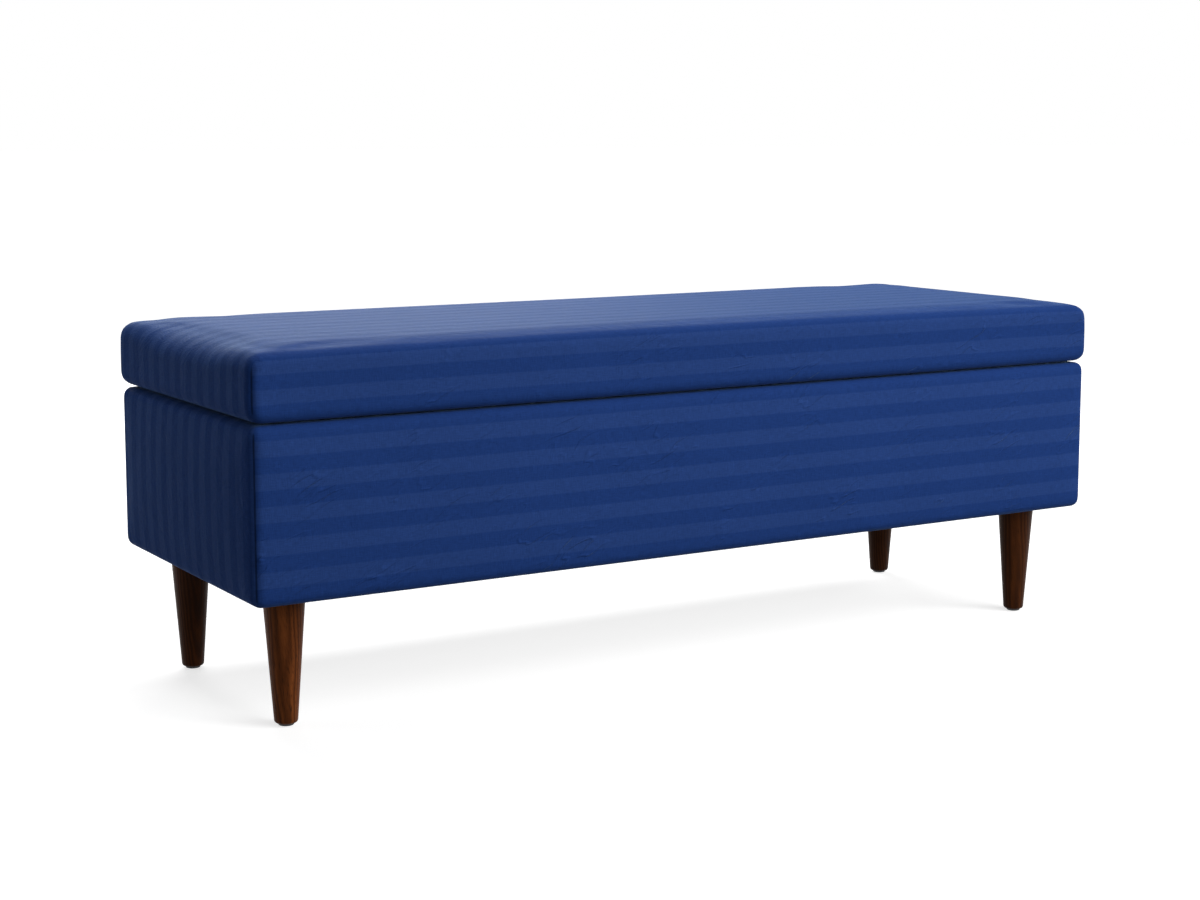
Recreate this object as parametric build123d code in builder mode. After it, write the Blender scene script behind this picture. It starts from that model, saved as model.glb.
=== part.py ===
"""Upholstered storage bench: padded box, padded lid on three butt hinges, two gas struts, four legs.

Millimetres. +X runs along the bench, -Y is its front, +Z is up, and the origin lies on the
floor under the middle of the bench.
"""

import os
from math import cos, radians, sin, sqrt

from build123d import *

# --- driving dimensions -------------------------------------------------------------------------

BOX_LENGTH = 1270.0         # outside of the box's cover
BOX_DEPTH = 448.0
LID_OVERHANG = 2.0          # the lid is this much larger than the box on every side
SEAT_HEIGHT = 457.0         # top of the lid
SEAM_HEIGHT = 368.0         # hinge axis, midway in the gap between box and lid
SEAM_GAP = 2.0
UNDERSIDE_HEIGHT = 158.5    # bottom edge of the wooden frame

COVER = 1.0                 # upholstery fabric
WALL_FOAM = 12.0            # foam glued round the outside of the walls
RIM_FOAM = 3.5              # thinner strip over the top edge of the walls
WALL = 16.0                 # plywood walls
LINING = 1.0                # black non-woven lining
FLOOR = 9.0                 # plywood floor of the well
CLEAT = 25.0                # square battens and corner blocks under the floor

BOX_CORNER_R = 13.0         # upright corners of the padded box
BOX_TOP_R = 12.0
BOX_BOTTOM_R = 12.5

LID_PANEL = 16.0
LID_WRAP = 14.0             # cover and polyester wadding together, round the foam block
LID_EDGE_R = 13.0           # front and back edges, and the upright corners
LID_BOTTOM_R = 14.0
LID_TURN_IN = 15.0          # the cover reaches this far inside the walls, under the lid
LID_LINING_CLEARANCE = 3.0  # the lid's lining drops into the well with this much to spare
LID_ROLL_LENGTH = 60.0      # the ends roll over in a quarter ellipse
LID_ROLL_DROP = 34.0
LEAST_LID_R = 1.5           # an inner layer keeps at least this radius at its corners

LEG_END_INSET = 64.0        # leg axis from the ends of the box
LEG_SIDE_INSET = 69.0       # leg axis from the front and back of the box
LEG_TOP_R = 25.4
LEG_FOOT_R = 14.0
LEG_FOOT_ROUND = 3.0
GLIDE_R = 9.5
GLIDE_HEIGHT = 3.0
PLATE = 2.5                 # steel leg plates
PLATE_SIDE = 60.0
PLATE_HOLE_SPACING = 46.0

HINGE_LENGTH = 70.0
HINGE_SPACING = 470.0       # three hinges, this far apart
HINGE_AXIS_INSET = 2.0      # hinge axis from the back of the box
HINGE_LEAF_WIDTH = 26.0
HINGE_LEAF = 1.5
HINGE_HALF_GAP = 0.1        # each leaf stands this far off the seam plane
KNUCKLES = 5
KNUCKLE_R = 3.5
KNUCKLE_GAP = 0.3
PIN_R = 1.95
PIN_CLEARANCE = 0.05

STRUT_ARM = 165.0           # hinge axis to either ball joint of a gas strut
STRUT_WALL_ANGLE = 75.6     # lower ball joint, degrees below the seam plane
STRUT_LID_ANGLE = 4.5       # upper ball joint, degrees below the seam plane
STRUT_FROM_WALL = 20.0      # strut axis from the inner face of the end wall
TUBE_R = 7.5
TUBE_WALL = 1.0
TUBE_LENGTH = 158.0
ROD_R = 3.0
PISTON_LENGTH = 8.0
GUIDE_LENGTH = 13.0
SLIDING_CLEARANCE = 0.05
BALL_R = 5.0
STUD_R = 3.0
STUD_COLLAR_R = 4.5
STUD_COLLAR = 2.0
SOCKET_R = 8.0
SOCKET_NECK_END = 14.0      # ball centre to the end of the socket's neck
BRACKET = 2.0               # steel of the strut brackets

WOOD_SCREW_R = 1.75
WOOD_SCREW_HEAD_R = 3.2
PLATE_BOLT_R = 4.0          # hanger bolts that carry the legs

SIDES = {"left": -1, "right": 1}
ENDS = {"back": 1, "front": -1}

# --- derived places -----------------------------------------------------------------------------

HALF_X = BOX_LENGTH / 2
HALF_Y = BOX_DEPTH / 2
BOX_TOP = SEAM_HEIGHT - SEAM_GAP / 2
BOX_BOTTOM = UNDERSIDE_HEIGHT - COVER
LID_UNDERSIDE = SEAM_HEIGHT + SEAM_GAP / 2
LID_HALF_X = HALF_X + LID_OVERHANG
LID_HALF_Y = HALF_Y + LID_OVERHANG

WALL_OUT_X = HALF_X - COVER - WALL_FOAM
WALL_OUT_Y = HALF_Y - COVER - WALL_FOAM
WALL_IN_X = WALL_OUT_X - WALL
WALL_IN_Y = WALL_OUT_Y - WALL
WALL_TOP = BOX_TOP - COVER - RIM_FOAM
FLOOR_UNDERSIDE = UNDERSIDE_HEIGHT + CLEAT
FLOOR_TOP = FLOOR_UNDERSIDE + FLOOR
WELL_FLOOR = FLOOR_TOP + LINING
TURN_IN_X = WALL_IN_X - COVER       # inner edge of the cover where it turns into the well
TURN_IN_Y = WALL_IN_Y - COVER
TURN_IN_DEPTH = 35.0

LID_PANEL_UNDERSIDE = LID_UNDERSIDE + COVER
LID_PANEL_TOP = LID_PANEL_UNDERSIDE + LID_PANEL
LID_PANEL_X = LID_HALF_X - LID_WRAP
LID_PANEL_Y = LID_HALF_Y - LID_WRAP
LID_TURN_X = WALL_IN_X - LID_TURN_IN    # inner edge of the cover under the lid
LID_TURN_Y = WALL_IN_Y - LID_TURN_IN
LID_LINING_X = WALL_IN_X - LID_LINING_CLEARANCE
LID_LINING_Y = WALL_IN_Y - LID_LINING_CLEARANCE

LEG_X = HALF_X - LEG_END_INSET
LEG_Y = HALF_Y - LEG_SIDE_INSET
LEG_TOP = UNDERSIDE_HEIGHT - PLATE
DUST_COVER_TOP = BOX_BOTTOM
DUST_COVER = 0.5

HINGE_Y = HALF_Y - HINGE_AXIS_INSET
HINGE_XS = (-HINGE_SPACING, 0.0, HINGE_SPACING)
STRUT_X = WALL_IN_X - STRUT_FROM_WALL
WALL_BALL_Y = HINGE_Y - STRUT_ARM * cos(radians(STRUT_WALL_ANGLE))
WALL_BALL_Z = SEAM_HEIGHT - STRUT_ARM * sin(radians(STRUT_WALL_ANGLE))
LID_BALL_Y = HINGE_Y - STRUT_ARM * cos(radians(STRUT_LID_ANGLE))
LID_BALL_Z = SEAM_HEIGHT - STRUT_ARM * sin(radians(STRUT_LID_ANGLE))


def save(piece, name):
    """Label a finished piece and write it as parts/NAME.step."""
    piece.part.label = name
    export_step(piece.part, f"parts/{name}.step")


def slab(half_x, half_y, low, high, mode=Mode.ADD):
    """A rectangular block centred on the bench, between two heights."""
    middle = (low + high) / 2
    with Locations((0, 0, middle)):
        Box(2 * half_x, 2 * half_y, high - low, mode=mode)


def frame_ring(outer_x, outer_y, inner_x, inner_y, low, high):
    """A rectangular ring between two heights."""
    with BuildPart(mode=Mode.PRIVATE) as ring:
        with BuildSketch(Plane.XY.offset(low)):
            Rectangle(2 * outer_x, 2 * outer_y)
            Rectangle(2 * inner_x, 2 * inner_y, mode=Mode.SUBTRACT)
        extrude(amount=high - low)
    return ring.part


def screw_shape(length):
    """Countersunk wood screw, head up, its top flush with the plane it is placed on."""
    head = WOOD_SCREW_HEAD_R - WOOD_SCREW_R
    tip = WOOD_SCREW_R
    with BuildPart(mode=Mode.PRIVATE) as screw:
        with BuildSketch(Plane.XZ):
            Polygon(
                (0, 0),
                (WOOD_SCREW_HEAD_R, 0),
                (WOOD_SCREW_R, -head),
                (WOOD_SCREW_R, tip - length),
                (0, -length),
                align=None,
            )
        revolve(axis=Axis.Z)
    return screw.part


def screw_at(position, out, length):
    """The same screw with its head at a position, facing along the direction out."""
    return Plane(origin=position, z_dir=out).location * screw_shape(length)


os.makedirs("parts", exist_ok=True)

# --- wooden box ---------------------------------------------------------------------------------

CORNER_SCREW = 40.0         # screw lengths
CORNER_SCREW_HEIGHTS = (195.0, 260.0, 325.0)
corner_screws = [
    screw_at((side * (WALL_OUT_X - WALL / 2), end * WALL_OUT_Y, height), (0, end, 0), CORNER_SCREW)
    for side in SIDES.values()
    for end in ENDS.values()
    for height in CORNER_SCREW_HEIGHTS
]

FLOOR_SCREW = 22.0
FLOOR_SCREW_SPACING = 330.0
FLOOR_SCREW_Y = WALL_IN_Y - CLEAT / 2
floor_screw_places = [
    (index * FLOOR_SCREW_SPACING, end * FLOOR_SCREW_Y)
    for index in (-1, 0, 1)
    for end in ENDS.values()
]
floor_screws = [screw_at((x, y, FLOOR_TOP), (0, 0, 1), FLOOR_SCREW) for x, y in floor_screw_places]

HINGE_SCREW_SPACING = 26.0
HINGE_SCREW_X = (-HINGE_SCREW_SPACING, 0.0, HINGE_SCREW_SPACING)
HINGE_SCREW_INSET = 16.0
HINGE_SCREW_Y = HINGE_Y - HINGE_SCREW_INSET
BASE_SCREW = 22.0
LID_SCREW = 15.0
BASE_LEAF_TOP = SEAM_HEIGHT - HINGE_HALF_GAP
LID_LEAF_UNDERSIDE = SEAM_HEIGHT + HINGE_HALF_GAP
hinge_screw_places = [(x + dx, HINGE_SCREW_Y) for x in HINGE_XS for dx in HINGE_SCREW_X]
hinge_base_screws = [screw_at((x, y, BASE_LEAF_TOP), (0, 0, 1), BASE_SCREW) for x, y in hinge_screw_places]
hinge_lid_screws = [
    screw_at((x, y, LID_LEAF_UNDERSIDE), (0, 0, -1), LID_SCREW) for x, y in hinge_screw_places
]

STRUT_SCREW = 15.0
WALL_SCREW_RISES = (15.0, 33.0)     # above the lower ball, which sits close to the floor
LID_SCREW_OFFSET = 17.0
WALL_BRACKET_FACE = WALL_IN_X - LINING - BRACKET
wall_bracket_screws = [
    screw_at((side * WALL_BRACKET_FACE, WALL_BALL_Y, WALL_BALL_Z + dz), (-side, 0, 0), STRUT_SCREW)
    for side in SIDES.values()
    for dz in WALL_SCREW_RISES
]
LID_LINING_FACE = LID_UNDERSIDE - LINING / 2
FLANGE_FROM_STRUT = 11.0
LID_FLANGE_X = STRUT_X + FLANGE_FROM_STRUT      # inner face of the lid bracket's hanging flange
LID_BRACKET_WIDTH = 24.0
SCREW_CLEAR_OF_FLANGE = 2.0         # the screws stand off the plate's middle, away from the flange
LID_BRACKET_SCREW_X = LID_FLANGE_X + BRACKET - LID_BRACKET_WIDTH / 2 - SCREW_CLEAR_OF_FLANGE
LID_BRACKET_FACE = LID_LINING_FACE - BRACKET
lid_bracket_screws = [
    screw_at((side * LID_BRACKET_SCREW_X, LID_BALL_Y + dy, LID_BRACKET_FACE), (0, 0, -1), STRUT_SCREW)
    for side in SIDES.values()
    for dy in (-LID_SCREW_OFFSET, LID_SCREW_OFFSET)
]

PLATE_SCREW = 18.0
plate_screw_places = [
    (side * LEG_X + dx, end * LEG_Y + dy)
    for side in SIDES.values()
    for end in ENDS.values()
    for dx in (-PLATE_HOLE_SPACING / 2, PLATE_HOLE_SPACING / 2)
    for dy in (-PLATE_HOLE_SPACING / 2, PLATE_HOLE_SPACING / 2)
]
leg_plate_screws = [screw_at((x, y, LEG_TOP), (0, 0, -1), PLATE_SCREW) for x, y in plate_screw_places]

# front and back walls run the full length; the end walls stand between them
for name, end in ENDS.items():
    with BuildPart() as wall:
        with Locations((0, end * (WALL_OUT_Y - WALL / 2), (UNDERSIDE_HEIGHT + WALL_TOP) / 2)):
            Box(2 * WALL_OUT_X, WALL, WALL_TOP - UNDERSIDE_HEIGHT)
        add(corner_screws, mode=Mode.SUBTRACT)
        if name == "back":
            add(hinge_base_screws, mode=Mode.SUBTRACT)
    save(wall, f"{name}_panel")

for name, side in SIDES.items():
    with BuildPart() as wall:
        with Locations((side * (WALL_OUT_X - WALL / 2), 0, (UNDERSIDE_HEIGHT + WALL_TOP) / 2)):
            Box(WALL, 2 * WALL_IN_Y, WALL_TOP - UNDERSIDE_HEIGHT)
        add(corner_screws, mode=Mode.SUBTRACT)
        add(wall_bracket_screws, mode=Mode.SUBTRACT)
    save(wall, f"{name}_panel")

with BuildPart() as bottom_panel:
    slab(WALL_IN_X, WALL_IN_Y, FLOOR_UNDERSIDE, FLOOR_TOP)
    add(floor_screws, mode=Mode.SUBTRACT)
save(bottom_panel, "bottom_panel")

BLOCK_SIDE = 110.0
BLOCK_X = WALL_IN_X - BLOCK_SIDE / 2
BLOCK_Y = WALL_IN_Y - BLOCK_SIDE / 2
T_NUT_R = 5.5
with BuildPart() as leg_blocks:
    with BuildSketch(Plane.XY.offset(UNDERSIDE_HEIGHT)):
        with GridLocations(2 * BLOCK_X, 2 * BLOCK_Y, 2, 2):
            Rectangle(BLOCK_SIDE, BLOCK_SIDE)
        with GridLocations(2 * LEG_X, 2 * LEG_Y, 2, 2):
            Circle(T_NUT_R, mode=Mode.SUBTRACT)
    extrude(amount=CLEAT)
    add(leg_plate_screws, mode=Mode.SUBTRACT)
save(leg_blocks, "leg_blocks")

# battens between the corner blocks, and two cross rails under the middle of the floor
LONG_CLEAT = 2 * (WALL_IN_X - BLOCK_SIDE)
SHORT_CLEAT = 2 * (WALL_IN_Y - BLOCK_SIDE)
CROSS_RAIL_SPACING = 420.0
with BuildPart() as floor_cleats:
    with BuildSketch(Plane.XY.offset(UNDERSIDE_HEIGHT)):
        with GridLocations(1, 2 * WALL_IN_Y - CLEAT, 1, 2):
            Rectangle(LONG_CLEAT, CLEAT)
        with GridLocations(2 * WALL_IN_X - CLEAT, 1, 2, 1):
            Rectangle(CLEAT, SHORT_CLEAT)
    extrude(amount=CLEAT)
    add(floor_screws, mode=Mode.SUBTRACT)
save(floor_cleats, "floor_cleats")

with BuildPart() as cross_rails:
    with BuildSketch(Plane.XY.offset(UNDERSIDE_HEIGHT)):
        with GridLocations(CROSS_RAIL_SPACING, 1, 2, 1):
            Rectangle(CLEAT, 2 * (WALL_IN_Y - CLEAT))
    extrude(amount=CLEAT)
save(cross_rails, "cross_rails")

with BuildPart() as frame_screws:
    add(corner_screws)
save(frame_screws, "frame_screws")

with BuildPart() as panel_screws:
    add(floor_screws)
save(panel_screws, "floor_screws")

# --- padding, cover and lining of the box -------------------------------------------------------


def padded_box(inset):
    """The rounded outside of the box, drawn in by an inset on every side."""
    with BuildPart(mode=Mode.PRIVATE) as body:
        with BuildSketch(Plane.XY.offset(BOX_BOTTOM + inset)):
            RectangleRounded(
                BOX_LENGTH - 2 * inset,
                BOX_DEPTH - 2 * inset,
                BOX_CORNER_R - inset,
            )
        extrude(amount=BOX_TOP - BOX_BOTTOM - 2 * inset)
        fillet(body.faces().sort_by(Axis.Z)[-1].edges(), BOX_TOP_R - inset)
        fillet(body.faces().sort_by(Axis.Z)[0].edges(), BOX_BOTTOM_R - inset)
    return body.part


with BuildPart(mode=Mode.PRIVATE) as wall_padding:
    add(padded_box(COVER))
    slab(WALL_OUT_X, WALL_OUT_Y, BOX_BOTTOM, WALL_TOP, mode=Mode.SUBTRACT)
    slab(WALL_IN_X, WALL_IN_Y, BOX_BOTTOM, BOX_TOP, mode=Mode.SUBTRACT)
    add(hinge_base_screws, mode=Mode.SUBTRACT)

for name, end in ENDS.items():
    with BuildPart() as foam:
        add(wall_padding.part)
        with Locations((0, end * (WALL_IN_Y + BOX_DEPTH / 2), SEAM_HEIGHT / 2)):
            Box(2 * BOX_LENGTH, BOX_DEPTH, 2 * SEAM_HEIGHT, mode=Mode.INTERSECT)
    save(foam, f"{name}_foam")

for name, side in SIDES.items():
    with BuildPart() as foam:
        add(wall_padding.part)
        with Locations((side * HALF_X, 0, SEAM_HEIGHT / 2)):
            Box(BOX_LENGTH, 2 * WALL_IN_Y, 2 * SEAM_HEIGHT, mode=Mode.INTERSECT)
    save(foam, f"{name}_foam")

with BuildPart() as box_cover:
    add(padded_box(0))
    add(padded_box(COVER), mode=Mode.SUBTRACT)
    slab(TURN_IN_X, TURN_IN_Y, 0, SEAT_HEIGHT, mode=Mode.SUBTRACT)
    add(frame_ring(WALL_IN_X, WALL_IN_Y, TURN_IN_X, TURN_IN_Y, BOX_TOP - TURN_IN_DEPTH, BOX_TOP - COVER))
    # the leaves of the hinges press a little way into the fabric on the rim
    with BuildSketch(Plane.XY.offset(BASE_LEAF_TOP - HINGE_LEAF)):
        with Locations(*((x, HINGE_Y) for x in HINGE_XS)):
            Rectangle(HINGE_LENGTH, 2 * HINGE_LEAF_WIDTH)
    extrude(amount=HINGE_LEAF, mode=Mode.SUBTRACT)
    add(hinge_base_screws, mode=Mode.SUBTRACT)
save(box_cover, "box_cover")

# the lining covers the walls of the well and laps over the turned-in edge of the cover
LAP_START = BOX_TOP - TURN_IN_DEPTH
LINING_BELOW_RIM = 8.0
LINING_TOP = BOX_TOP - LINING_BELOW_RIM
LAP_X = TURN_IN_X - LINING
LAP_Y = TURN_IN_Y - LINING
with BuildPart() as box_lining:
    add(frame_ring(WALL_IN_X, WALL_IN_Y, TURN_IN_X, TURN_IN_Y, FLOOR_TOP, LAP_START))
    add(frame_ring(WALL_IN_X, WALL_IN_Y, LAP_X, LAP_Y, LAP_START - LINING, LAP_START))
    add(frame_ring(TURN_IN_X, TURN_IN_Y, LAP_X, LAP_Y, LAP_START, LINING_TOP))
    add(wall_bracket_screws, mode=Mode.SUBTRACT)
save(box_lining, "box_lining")

with BuildPart() as floor_lining:
    slab(TURN_IN_X, TURN_IN_Y, FLOOR_TOP, WELL_FLOOR)
save(floor_lining, "floor_lining")

PLATE_OPENING_GAP = 1.0
PLATE_OPENING = PLATE_SIDE + 2 * PLATE_OPENING_GAP
DUST_COVER_EDGE = 8.0       # the dust cover stops short of the rounded bottom edge
with BuildPart() as dust_cover:
    with BuildSketch(Plane.XY.offset(DUST_COVER_TOP)):
        Rectangle(2 * (WALL_OUT_X - DUST_COVER_EDGE), 2 * (WALL_OUT_Y - DUST_COVER_EDGE))
        with GridLocations(2 * LEG_X, 2 * LEG_Y, 2, 2):
            Rectangle(PLATE_OPENING, PLATE_OPENING, mode=Mode.SUBTRACT)
    extrude(amount=-DUST_COVER)
save(dust_cover, "dust_cover")

# --- legs ---------------------------------------------------------------------------------------

BOLT_INTO_LEG = 45.0
BOLT_INTO_BLOCK = 18.0
BOLT_CHAMFER = 1.0
with BuildPart(mode=Mode.PRIVATE) as leg:
    with BuildSketch(Plane.XZ):
        with BuildLine():
            Polyline(
                (PLATE_BOLT_R, LEG_TOP),
                (LEG_TOP_R, LEG_TOP),
                (LEG_FOOT_R, GLIDE_HEIGHT),
                (0, GLIDE_HEIGHT),
                (0, LEG_TOP - BOLT_INTO_LEG),
                (PLATE_BOLT_R, LEG_TOP - BOLT_INTO_LEG),
                close=True,
            )
        make_face()
    revolve(axis=Axis.Z)
    foot_edge = leg.edges().filter_by(GeomType.CIRCLE).sort_by(Axis.Z)[0]
    fillet(foot_edge, LEG_FOOT_ROUND)

for end_name, end in ENDS.items():
    for side_name, side in SIDES.items():
        with BuildPart() as placed_leg:
            with Locations((side * LEG_X, end * LEG_Y, 0)):
                add(leg.part)
        save(placed_leg, f"leg_{end_name}_{side_name}")

PLATE_CORNER_R = 6.0
with BuildPart() as leg_plates:
    with BuildSketch(Plane.XY.offset(LEG_TOP)):
        with GridLocations(2 * LEG_X, 2 * LEG_Y, 2, 2):
            RectangleRounded(PLATE_SIDE, PLATE_SIDE, PLATE_CORNER_R)
            Circle(PLATE_BOLT_R, mode=Mode.SUBTRACT)
    extrude(amount=PLATE)
    # short threaded bush pressed into each plate, standing up into the block
    with BuildSketch(Plane.XY.offset(UNDERSIDE_HEIGHT)):
        with GridLocations(2 * LEG_X, 2 * LEG_Y, 2, 2):
            Circle(T_NUT_R)
            Circle(PLATE_BOLT_R, mode=Mode.SUBTRACT)
    extrude(amount=CLEAT / 2)
    add(leg_plate_screws, mode=Mode.SUBTRACT)
save(leg_plates, "leg_plates")

with BuildPart() as plate_screws:
    add(leg_plate_screws)
save(plate_screws, "leg_plate_screws")

with BuildPart() as hanger_bolts:
    with BuildSketch(Plane.XY.offset(LEG_TOP - BOLT_INTO_LEG)):
        with GridLocations(2 * LEG_X, 2 * LEG_Y, 2, 2):
            Circle(PLATE_BOLT_R)
    extrude(amount=BOLT_INTO_LEG + BOLT_INTO_BLOCK)
    chamfer(hanger_bolts.edges().group_by(Axis.Z)[-1], BOLT_CHAMFER)
save(hanger_bolts, "hanger_bolts")

with BuildPart() as leg_glides:
    with BuildSketch():
        with GridLocations(2 * LEG_X, 2 * LEG_Y, 2, 2):
            Circle(GLIDE_R)
    extrude(amount=GLIDE_HEIGHT)
    fillet(leg_glides.edges().group_by(Axis.Z)[0], GLIDE_HEIGHT / 2)
save(leg_glides, "leg_glides")

# --- lid ----------------------------------------------------------------------------------------


def padded_lid(inset):
    """The rounded outside of the lid, drawn in by an inset on every side."""
    half_x = LID_HALF_X - inset
    low = LID_UNDERSIDE + inset
    high = SEAT_HEIGHT - inset
    bottom_r = max(LID_BOTTOM_R - inset, LEAST_LID_R)
    edge_r = max(LID_EDGE_R - inset, LEAST_LID_R)
    roll_x = LID_ROLL_LENGTH - inset
    roll_z = LID_ROLL_DROP - inset
    with BuildPart(mode=Mode.PRIVATE) as body:
        with BuildSketch(Plane.XZ.offset(-(LID_HALF_Y - inset))):
            with BuildLine():
                Line((half_x - bottom_r, low), (bottom_r - half_x, low))
                CenterArc((bottom_r - half_x, low + bottom_r), bottom_r, 180, 90)
                Line((-half_x, low + bottom_r), (-half_x, high - roll_z))
                EllipticalCenterArc((roll_x - half_x, high - roll_z), roll_x, roll_z, 90, arc_size=90)
                Line((roll_x - half_x, high), (half_x - roll_x, high))
                EllipticalCenterArc((half_x - roll_x, high - roll_z), roll_x, roll_z, 0, arc_size=90)
                Line((half_x, high - roll_z), (half_x, low + bottom_r))
                CenterArc((half_x - bottom_r, low + bottom_r), bottom_r, 270, 90)
            make_face()
        extrude(amount=2 * (LID_HALF_Y - inset))
        fillet(body.faces().sort_by(Axis.Y)[0].edges(), edge_r)
        fillet(body.faces().sort_by(Axis.Y)[-1].edges(), edge_r)
    return body.part


with BuildPart() as lid_panel:
    slab(LID_PANEL_X, LID_PANEL_Y, LID_PANEL_UNDERSIDE, LID_PANEL_TOP)
    add(hinge_lid_screws, mode=Mode.SUBTRACT)
    add(lid_bracket_screws, mode=Mode.SUBTRACT)
save(lid_panel, "lid_panel")

with BuildPart() as lid_foam:
    add(padded_lid(LID_WRAP))
    slab(LID_HALF_X, LID_HALF_Y, 0, LID_PANEL_TOP, mode=Mode.SUBTRACT)
save(lid_foam, "lid_foam")

with BuildPart() as lid_batting:
    add(padded_lid(COVER))
    add(padded_lid(LID_WRAP), mode=Mode.SUBTRACT)
    slab(LID_PANEL_X, LID_PANEL_Y, LID_UNDERSIDE, LID_PANEL_TOP, mode=Mode.SUBTRACT)
save(lid_batting, "lid_batting")

with BuildPart() as lid_cover:
    add(padded_lid(0))
    add(padded_lid(COVER), mode=Mode.SUBTRACT)
    slab(LID_TURN_X, LID_TURN_Y, LID_UNDERSIDE, LID_PANEL_TOP, mode=Mode.SUBTRACT)
    with BuildSketch(Plane.XY.offset(LID_LEAF_UNDERSIDE)):
        with Locations(*((x, HINGE_Y) for x in HINGE_XS)):
            Rectangle(HINGE_LENGTH, 2 * HINGE_LEAF_WIDTH)
    extrude(amount=HINGE_LEAF, mode=Mode.SUBTRACT)
    add(hinge_lid_screws, mode=Mode.SUBTRACT)
save(lid_cover, "lid_cover")

# fills the middle of the underside and laps over the turned-in edge of the cover
with BuildPart() as lid_lining:
    slab(LID_TURN_X, LID_TURN_Y, LID_UNDERSIDE, LID_PANEL_UNDERSIDE)
    slab(LID_LINING_X, LID_LINING_Y, LID_LINING_FACE, LID_UNDERSIDE)
    add(lid_bracket_screws, mode=Mode.SUBTRACT)
save(lid_lining, "lid_lining")

# --- hinges -------------------------------------------------------------------------------------

KNUCKLE_LENGTH = (HINGE_LENGTH - (KNUCKLES - 1) * KNUCKLE_GAP) / KNUCKLES
KNUCKLE_PITCH = KNUCKLE_LENGTH + KNUCKLE_GAP
PIN_HEAD_R = 3.0
PIN_HEAD = 1.0


def hinge_leaves(parity, low, bore_r, screws):
    """Three leaves, each with every other knuckle of its hinge rolled round the pin."""
    knuckle_xs = [
        x + (index - (KNUCKLES - 1) / 2) * KNUCKLE_PITCH
        for x in HINGE_XS
        for index in range(KNUCKLES)
        if index % 2 == parity
    ]
    middle_z = low + HINGE_LEAF / 2
    with BuildPart() as leaves:
        with Locations(*((x, HINGE_Y - (HINGE_LEAF_WIDTH + KNUCKLE_R) / 2, middle_z) for x in HINGE_XS)):
            Box(HINGE_LENGTH, HINGE_LEAF_WIDTH - KNUCKLE_R, HINGE_LEAF)
        with Locations(*((x, HINGE_Y - KNUCKLE_R / 2, middle_z) for x in knuckle_xs)):
            Box(KNUCKLE_LENGTH, KNUCKLE_R, HINGE_LEAF)
        for x in knuckle_xs:
            with BuildSketch(Plane.YZ.offset(x - KNUCKLE_LENGTH / 2)):
                with Locations((HINGE_Y, SEAM_HEIGHT)):
                    Circle(KNUCKLE_R)
            extrude(amount=KNUCKLE_LENGTH)
        for x in HINGE_XS:
            with BuildSketch(Plane.YZ.offset(x - HINGE_LENGTH)):
                with Locations((HINGE_Y, SEAM_HEIGHT)):
                    Circle(bore_r)
            extrude(amount=2 * HINGE_LENGTH, mode=Mode.SUBTRACT)
        add(screws, mode=Mode.SUBTRACT)
    return leaves


save(hinge_leaves(0, BASE_LEAF_TOP - HINGE_LEAF, PIN_R, hinge_base_screws), "hinge_base_leaves")
save(
    hinge_leaves(1, LID_LEAF_UNDERSIDE, PIN_R + PIN_CLEARANCE, hinge_lid_screws),
    "hinge_lid_leaves",
)

with BuildPart() as hinge_pins:
    for x in HINGE_XS:
        with BuildSketch(Plane.YZ.offset(x - HINGE_LENGTH / 2 - PIN_HEAD)):
            with Locations((HINGE_Y, SEAM_HEIGHT)):
                Circle(PIN_R)
        extrude(amount=HINGE_LENGTH + 2 * PIN_HEAD)
        for start in (x - HINGE_LENGTH / 2 - PIN_HEAD, x + HINGE_LENGTH / 2):
            with BuildSketch(Plane.YZ.offset(start)):
                with Locations((HINGE_Y, SEAM_HEIGHT)):
                    Circle(PIN_HEAD_R)
            extrude(amount=PIN_HEAD)
save(hinge_pins, "hinge_pins")

with BuildPart() as base_screws:
    add(hinge_base_screws)
save(base_screws, "hinge_base_screws")

with BuildPart() as lid_screws:
    add(hinge_lid_screws)
save(lid_screws, "hinge_lid_screws")

# --- gas struts ---------------------------------------------------------------------------------

STUD_LENGTH_WALL = WALL_BRACKET_FACE - STRUT_X
STUD_LENGTH_LID = LID_FLANGE_X - STRUT_X
WALL_BRACKET_WIDTH = 22.0
WALL_BRACKET_BELOW = 11.0
WALL_BRACKET_ABOVE = 43.0
LID_BRACKET_LENGTH = 54.0
BRACKET_CORNER_R = 4.0
FLANGE_WIDTH = 24.0


def turned(plane, points):
    """A solid of revolution about the plane's y axis, from (radius, distance) points."""
    with BuildPart(mode=Mode.PRIVATE) as solid:
        with BuildSketch(plane):
            with BuildLine():
                Polyline(*points, close=True)
            make_face()
        revolve(axis=Axis(plane.origin, plane.y_dir))
    return solid


def ball_stud(centre, side, length):
    """A ball on a stem that stands off a bracket on a collar and is riveted through it."""
    plane = Plane(origin=centre, x_dir=(0, 1, 0), z_dir=(0, 0, -side))
    neck = sqrt(BALL_R**2 - STUD_R**2)
    with BuildPart(mode=Mode.PRIVATE) as stud:
        with BuildSketch(plane):
            with BuildLine():
                ThreePointArc((0, -BALL_R), (BALL_R, 0), (STUD_R, neck))
                Polyline(
                    (STUD_R, neck),
                    (STUD_R, length - STUD_COLLAR),
                    (STUD_COLLAR_R, length - STUD_COLLAR),
                    (STUD_COLLAR_R, length),
                    (STUD_R, length),
                    (STUD_R, length + BRACKET),
                    (0, length + BRACKET),
                    (0, -BALL_R),
                )
            make_face()
        revolve(axis=Axis(plane.origin, plane.y_dir))
    return stud.part


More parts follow.
